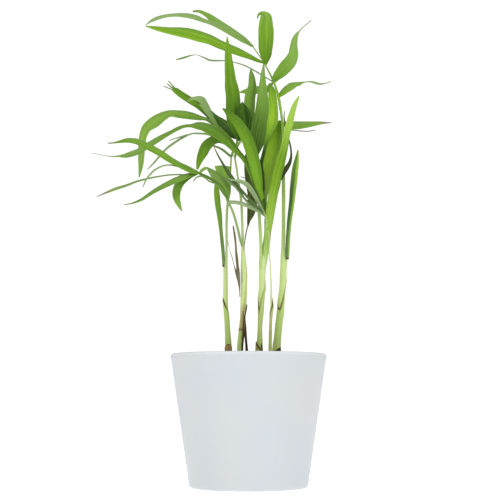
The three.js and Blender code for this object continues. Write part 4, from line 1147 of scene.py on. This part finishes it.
# %% Top frond
make_piece("top_frond_leaves", {
    "stalk": stalk(stem_line([
        (283.6, 180, 5, 3.2), (283.2, 160, 5.5, 3), (283, 140, 6.5, 2.8), (282.5, 125, 7.5, 2.6),
        (281.4, 115, 8.2, 2.5), (279.9, 105, 9, 2.9), (278.9, 99, 9.6, 2.9), (277.2, 92, 10.6, 2.5),
        (275.3, 86, 11.8, 2.2), (273.3, 81, 13, 2.2), (271, 76, 13.8, 1.8), (268.5, 71, 14.5, 1.6),
        (266, 66.3, 15.2, 1.6), (264.3, 63, 15.8, 1.6), (261, 58, 17.5, 1.2), (258, 54, 19, 1.2),
        (255, 49.5, 20, 1.2), (253, 46.5, 20.6, 1.4)]), seed=0.35, flush=(0.4, 0.8, 1, 0.8)),
    "upper_left_leaflet": leaflet([
        (252.2, 46.6, 20.7, 2), (244.7, 40.6, 24, 4.8), (234.7, 33.6, 27, 6), (224.7, 27.1, 30, 7),
        (215, 20.6, 33, 6.6), (208, 15.4, 35, 4.4), (203, 12.7, 36, 2.9), (199, 11.2, 36.5, 2.4),
        (192.8, 11.3, 37, 1.6)], widest=9, tone=(0.5, 0.45), pale=(0.5, 0.05, 0.1), sound=0.97),
    "long_left_leaflet": leaflet([
        (252.8, 46, 20.4, 2), (245, 41.6, 19.9, 3.6), (235, 35.3, 19.2, 4.6), (225, 29.3, 18.5, 5),
        (215, 24.3, 17.5, 5), (205, 21, 16, 3.9), (195, 17.3, 14, 4.6), (185, 15.4, 11.5, 3.8),
        (175, 15, 10, 3), (165, 16.1, 8.5, 3.3), (158, 18, 7.5, 3.6), (152, 20.7, 6.8, 2.7),
        (148, 23.3, 6.3, 1.2), (145.7, 25.2, 6, 0.6)], widest=9, tone=(0.4, 0.45), pale=(0.25, 0.75)),
    "broad_left_leaflet": leaflet([
        (263.8, 62.8, 15.8, 2), (258, 60.6, 15.2, 3.3), (250, 56.9, 14, 4.7), (240, 52.6, 12.6, 6.6),
        (230, 48.5, 11.6, 7.6), (220, 44.5, 10.5, 8.6), (210, 39.7, 9.3, 9.6), (200, 36.6, 8, 10.5),
        (190, 33.8, 7.2, 10), (180, 32.1, 6.3, 9), (170, 30.8, 5.5, 7), (160, 29.1, 4.8, 5),
        (154, 27.9, 4.4, 3.4), (149, 26.8, 4.1, 1.9), (145.6, 26.3, 4, 0.8)], widest=10,
        tone=(0.42, 0.5, 0.5, 0.6)),
    "end_leaflet": leaflet([
        (264.6, 64, 15.3, 4.4), (265.2, 60, 16.3, 7), (265.5, 55, 17.4, 11.2), (265.4, 50, 18.4, 13),
        (265.9, 40, 21, 14.6), (266.1, 30, 23.5, 14.8), (266.1, 25, 25, 14), (266.3, 19.8, 27, 12.2),
        (265.9, 15.8, 29, 9.8), (263.8, 13.8, 30.5, 5.6), (260.6, 13.4, 32, 3), (258.3, 15, 33.5, 1.8),
        (257.4, 18.8, 35, 0.8)], widest=10.5, tone=(0.42, 0.48, 0.52), pale=(0, 0.1)),
    "upper_right_leaflet": leaflet([
        (273.4, 81.5, 13, 4), (277.1, 76.5, 11, 8.2), (283.2, 69.7, 8.8, 11.5), (290.3, 60.7, 5, 12.3),
        (292.8, 54, 2.5, 10.2), (293.5, 47, 0, 7.8), (294.6, 40, -1.8, 5.8), (296.6, 35, -2.8, 3.4),
        (299.2, 31.3, -3.5, 1.3), (302.5, 27.7, -4.3, 0.8), (311.3, 20.2, -6, 0.6)], widest=11, twist=25,
        tone=(0.4, 0.48, 0.4), pale=(0.05, 0.25, 0.7), sound=0.9),
    "curved_right_leaflet": leaflet([
        (278.7, 96.8, 10.5, 2.4), (281.9, 94.1, 12, 4.3), (285.5, 90.8, 14, 6), (289.4, 87.6, 16, 7),
        (293.1, 84.9, 18, 6), (297.1, 83.7, 20.5, 4.4), (301, 82.7, 22.5, 2.2), (305, 82.1, 25, 1),
        (309, 81.7, 27, 1.2), (314, 82.6, 30, 2), (319, 83.7, 32.5, 1.8), (324, 83.6, 35, 1),
        (331, 81.5, 38, 0.6)], widest=8.5, turned=-1, tone=(0.5, 0.45), pale=(0, 0.1, 0.6, 1)),
    "dry_thread": leaflet([
        (273.3, 82, 12.7, 1), (255, 71, 18, 1.3), (245, 65.7, 21, 1.2), (233, 62, 24.6, 0.8),
        (228, 61, 26, 0.5), (222, 60.7, 28, 1), (210, 60.2, 30.8, 1.6), (205, 58, 32, 1.4),
        (197, 55, 34, 0.35), (193, 55, 35, 0.8), (185, 57.3, 36.6, 1.8), (176, 59.8, 38, 0.7)], widest=3.5,
        tone=0.3, pale=(1, 1, 1, 0.3)),
    "short_left_leaflet": leaflet([
        (273, 83.3, 12.8, 2), (270, 86.5, 17, 4.5), (266.5, 89.3, 21, 7), (258, 89.8, 28, 7.2),
        (250, 90.3, 34.5, 5.6), (245, 91, 38.5, 4), (239.6, 92.2, 42, 1)], widest=8, tone=(0.5, 0.6),
        pale=0.1),
    "low_right_leaflet": leaflet([
        (281.9, 125.7, 8, 2), (287.4, 125.5, 10.5, 7.2), (293.4, 125.3, 13.5, 8.2), (300.4, 124.9, 17, 7.4),
        (310.4, 124, 21, 5), (320.4, 122.9, 25.5, 2.6), (327.3, 122.7, 28, 1.4), (331.3, 122.7, 29, 0.8)],
        widest=8, turned=-1, tone=(0.4, 0.5), pale=0.1, sound=0.82),
    "low_right_strip": leaflet([
        (281.6, 128.5, 7.9, 1.2), (293, 130.2, 5, 1), (300, 130.9, 3, 1), (307, 131.3, 1, 0.8),
        (316, 130, -1, 0.4)], widest=2.4, turned=-1, tone=0.6, sound=0.2),
}, LEAFY, "leaf", "frond_top")

# %% [markdown]
# ## Spears, dry and dead pieces
# Two young leaves still stand folded, as spears, beside their stems. Older tissue has dried: a dead
# leaf, a spear, a split sheath and the brown scales round three feet. Cards would do for such small
# things, but their shadows and edges show, so they are the same skins with dry finishes.
# %% Spears
make_piece("left_spear", {
    "blade": leaflet([
        (223.3, 267, 2.6, 1.6), (223.4, 260, 2.5, 2.6), (222.9, 250, 2.4, 3.1), (221.9, 240, 2.1, 3.1),
        (220.9, 230, 1.8, 2.9), (219.4, 215, 1.3, 4.6), (217.9, 205, 1, 5.4), (216.7, 192, 0.4, 5.4),
        (215.5, 181, -0.3, 1)], widest=4.4, tone=(0.35, 0.28, 0.45, 0.7), pale=(0.35, 0.25, 0.12, 0.1),
        fold=0.3, heel=0.03),
}, LEAFY, "leaf", "spear_left")
make_piece("right_spear", {
    "blade": leaflet([
        (287.3, 259.5, 0.2, 2.4), (287.4, 254, 0, 3.4), (287.5, 248, -0.2, 3.8), (287.9, 240, -0.6, 4),
        (288.6, 230, -1, 4.1), (289.5, 220, -1.4, 4.4), (290.8, 210, -1.8, 4.7), (292, 200, -2.2, 5.1),
        (292.9, 190, -2.6, 6), (294, 180, -3, 6.4), (295.1, 170, -3.4, 6.2), (296.4, 162, -3.6, 4.8),
        (298.1, 150, -4, 1)], widest=4.6, tone=(0.4, 0.3, 0.32, 0.6), half=0.3, pale=(0.35, 0.1, 0.1),
        fold=0.3, heel=0.025),
}, LEAFY, "leaf", "spear_right")
# %% Dead and dry pieces
make_piece("dead_leaflet", {
    "stalk": stalk([
        (-2.9, -5.5, 147.5, 0.12), (-2.8, -6.8, 150, 0.22), (-2.5, -7.2, 153, 0.3), (-2.1, -6.8, 156, 0.36),
        (-1.3, -4, 161, 0.38), (-0.1, 3, 166.5, 0.42)], seed=0.1, tone=0.6),
    "shrivelled_leaf": leaflet([
        (247.9, 226, 2.2, 1.4), (248.8, 220, 3.6, 3.2), (251, 212, 5, 7.5), (252.6, 198, 6.6, 9.3),
        (249.6, 178, 8, 8.8), (247.9, 165, 8, 6.6), (246.8, 154, 8, 2.6)], widest=7.5, tone=(0.4, 0.65)),
    "thread": leaflet([
        (247.5, 179.6, 6, 1.2), (245.3, 178.3, 6, 1), (243, 177.4, 6, 0.9), (240.5, 176.7, 6, 0.7)],
        widest=0.8, dark=True, tone=0.4),
}, {"leaf": dead_olive, "stem": dead_olive}, "dead", "dead_leaf")
make_piece("dry_leaf_spear", {
    "spear": leaflet([
        (239.9, 297, -8, 0.8), (239.6, 290, -8, 1.2), (239, 283, -8.1, 2.6), (238.3, 277, -8.3, 3.8),
        (237.9, 271, -8.4, 3.8), (237.4, 265, -8.6, 2.7), (236.9, 259, -8.8, 2.8), (236.3, 253, -9, 2.3),
        (235.8, 246, -9.1, 1.9), (235.1, 238, -9.3, 2.3), (234.2, 232, -9.4, 2), (233.2, 226, -9.5, 1.5)],
        widest=4.4, dark=True, tone=0.45, fold=0.3),
    "fibre": leaflet([
        (237.4, 279, -8.4, 1.6), (235.8, 272, -8.7, 1.5), (233.9, 264.5, -9.2, 0.8), (232.3, 258, -9.8, 0.8),
        (230.3, 252, -10.3, 0.6), (229, 247, -10.6, 0.5), (228.2, 243, -10.9, 0.8), (227.2, 240, -11, 0.6)],
        widest=1.5, dark=True, tone=0.7),
}, {"leaf": dry_grey}, "dry", "dry_spear")
make_piece("split_dry_sheath", {
    "right_half": leaflet([
        (246.9, 304.2, -7.7, 0.8), (246.4, 308, -7.8, 1.6), (245.6, 313, -7.9, 1.3), (244.8, 318, -8, 1.5),
        (244.8, 324, -8.1, 2.6), (245.2, 330, -8.2, 2.8), (245.7, 337, -8.3, 2.6), (246.3, 344, -8.5, 2.6),
        (246.9, 352, -8.6, 3.3)], widest=3.4, dark=True, tone=(0.25, 0), fold=0.3),
    "left_half": leaflet([
        (243, 311, -7.9, 0.8), (243.8, 318, -8, 1.3), (243.9, 325, -8.2, 2.6), (243.7, 331, -8.4, 2.5),
        (243.1, 337, -8.6, 2.3), (242.5, 344, -8.8, 2.1), (242.2, 352, -9, 1.9)], widest=2.6, dark=True,
        tone=(0.3, 0)),
}, {"leaf": dry_brown}, "dry", "split_sheath")
make_piece("withered_leaflet", {
    "strip": leaflet([
        (284.5, 111, 6.6, 0.5), (284.1, 118, 6, 1), (285.2, 124, 5, 1.6), (286.5, 131, 4, 1.6),
        (288.6, 139, 3, 1.5), (290.6, 147, 2, 1.6), (291.2, 155, 1.2, 1.9), (289.9, 162, 0.6, 2.8),
        (286, 169, 0, 4.2), (283, 175, -0.3, 2.8), (281.3, 180, -0.5, 1)], widest=3.6, tone=(0.6, 0.1)),
}, {"leaf": dead_olive}, "dead", "withered_leaf")
# %% Scales at the feet
make_piece("foot_scale_left", {
    "scale": stem_skin([
        (-12.8, 5, 73, 2.05), (-12.8, 5, 80, 2.05), (-12.9, 5, 92, 1.95)],
        mouth={"low": 86.4, "rise": 3, "facing": 270}, dark_side=90, wall=0.4, seed=0.3, tone=0.85,
        finish="dry", **FINE),
}, {"dry": dry_brown}, "dry", "base_scale_left")
make_piece("foot_scale_centre", {
    "scale": stem_skin([
        (6.8, 1, 73, 2.25), (6.8, 1, 80, 2.25), (6.9, 1, 94, 1.9)],
        mouth={"low": 84, "rise": 6.9, "facing": 20, "power": 1.3}, dark_side=110, darkness=1.2, wall=0.45,
        dry=[(84, 12, 0.55)], seed=0.7, **FINE),
    "loose_tip": leaflet([
        (262.1, 355, -1.3, 2), (262.1, 351, -1.3, 1.8), (261.9, 346, -1.2, 1.5), (261.8, 343, -1, 0.6)],
        widest=1.4, tone=0.1, dark=True, finish="dry"),
}, {"stem": stem_green, "dry": dry_brown}, "dry", "base_scale_centre")
make_piece("foot_scale_right", {
    "scale": stem_skin([
        (17.6, 3, 73, 2.5), (17.7, 3, 80, 2.5), (18, 3, 92, 2.2)],
        mouth={"low": 84.7, "rise": 3, "facing": 180}, wall=0.4, seed=0.2, tone=0.15, finish="dry", **FINE),
}, {"dry": dry_brown}, "dry", "base_scale_right")
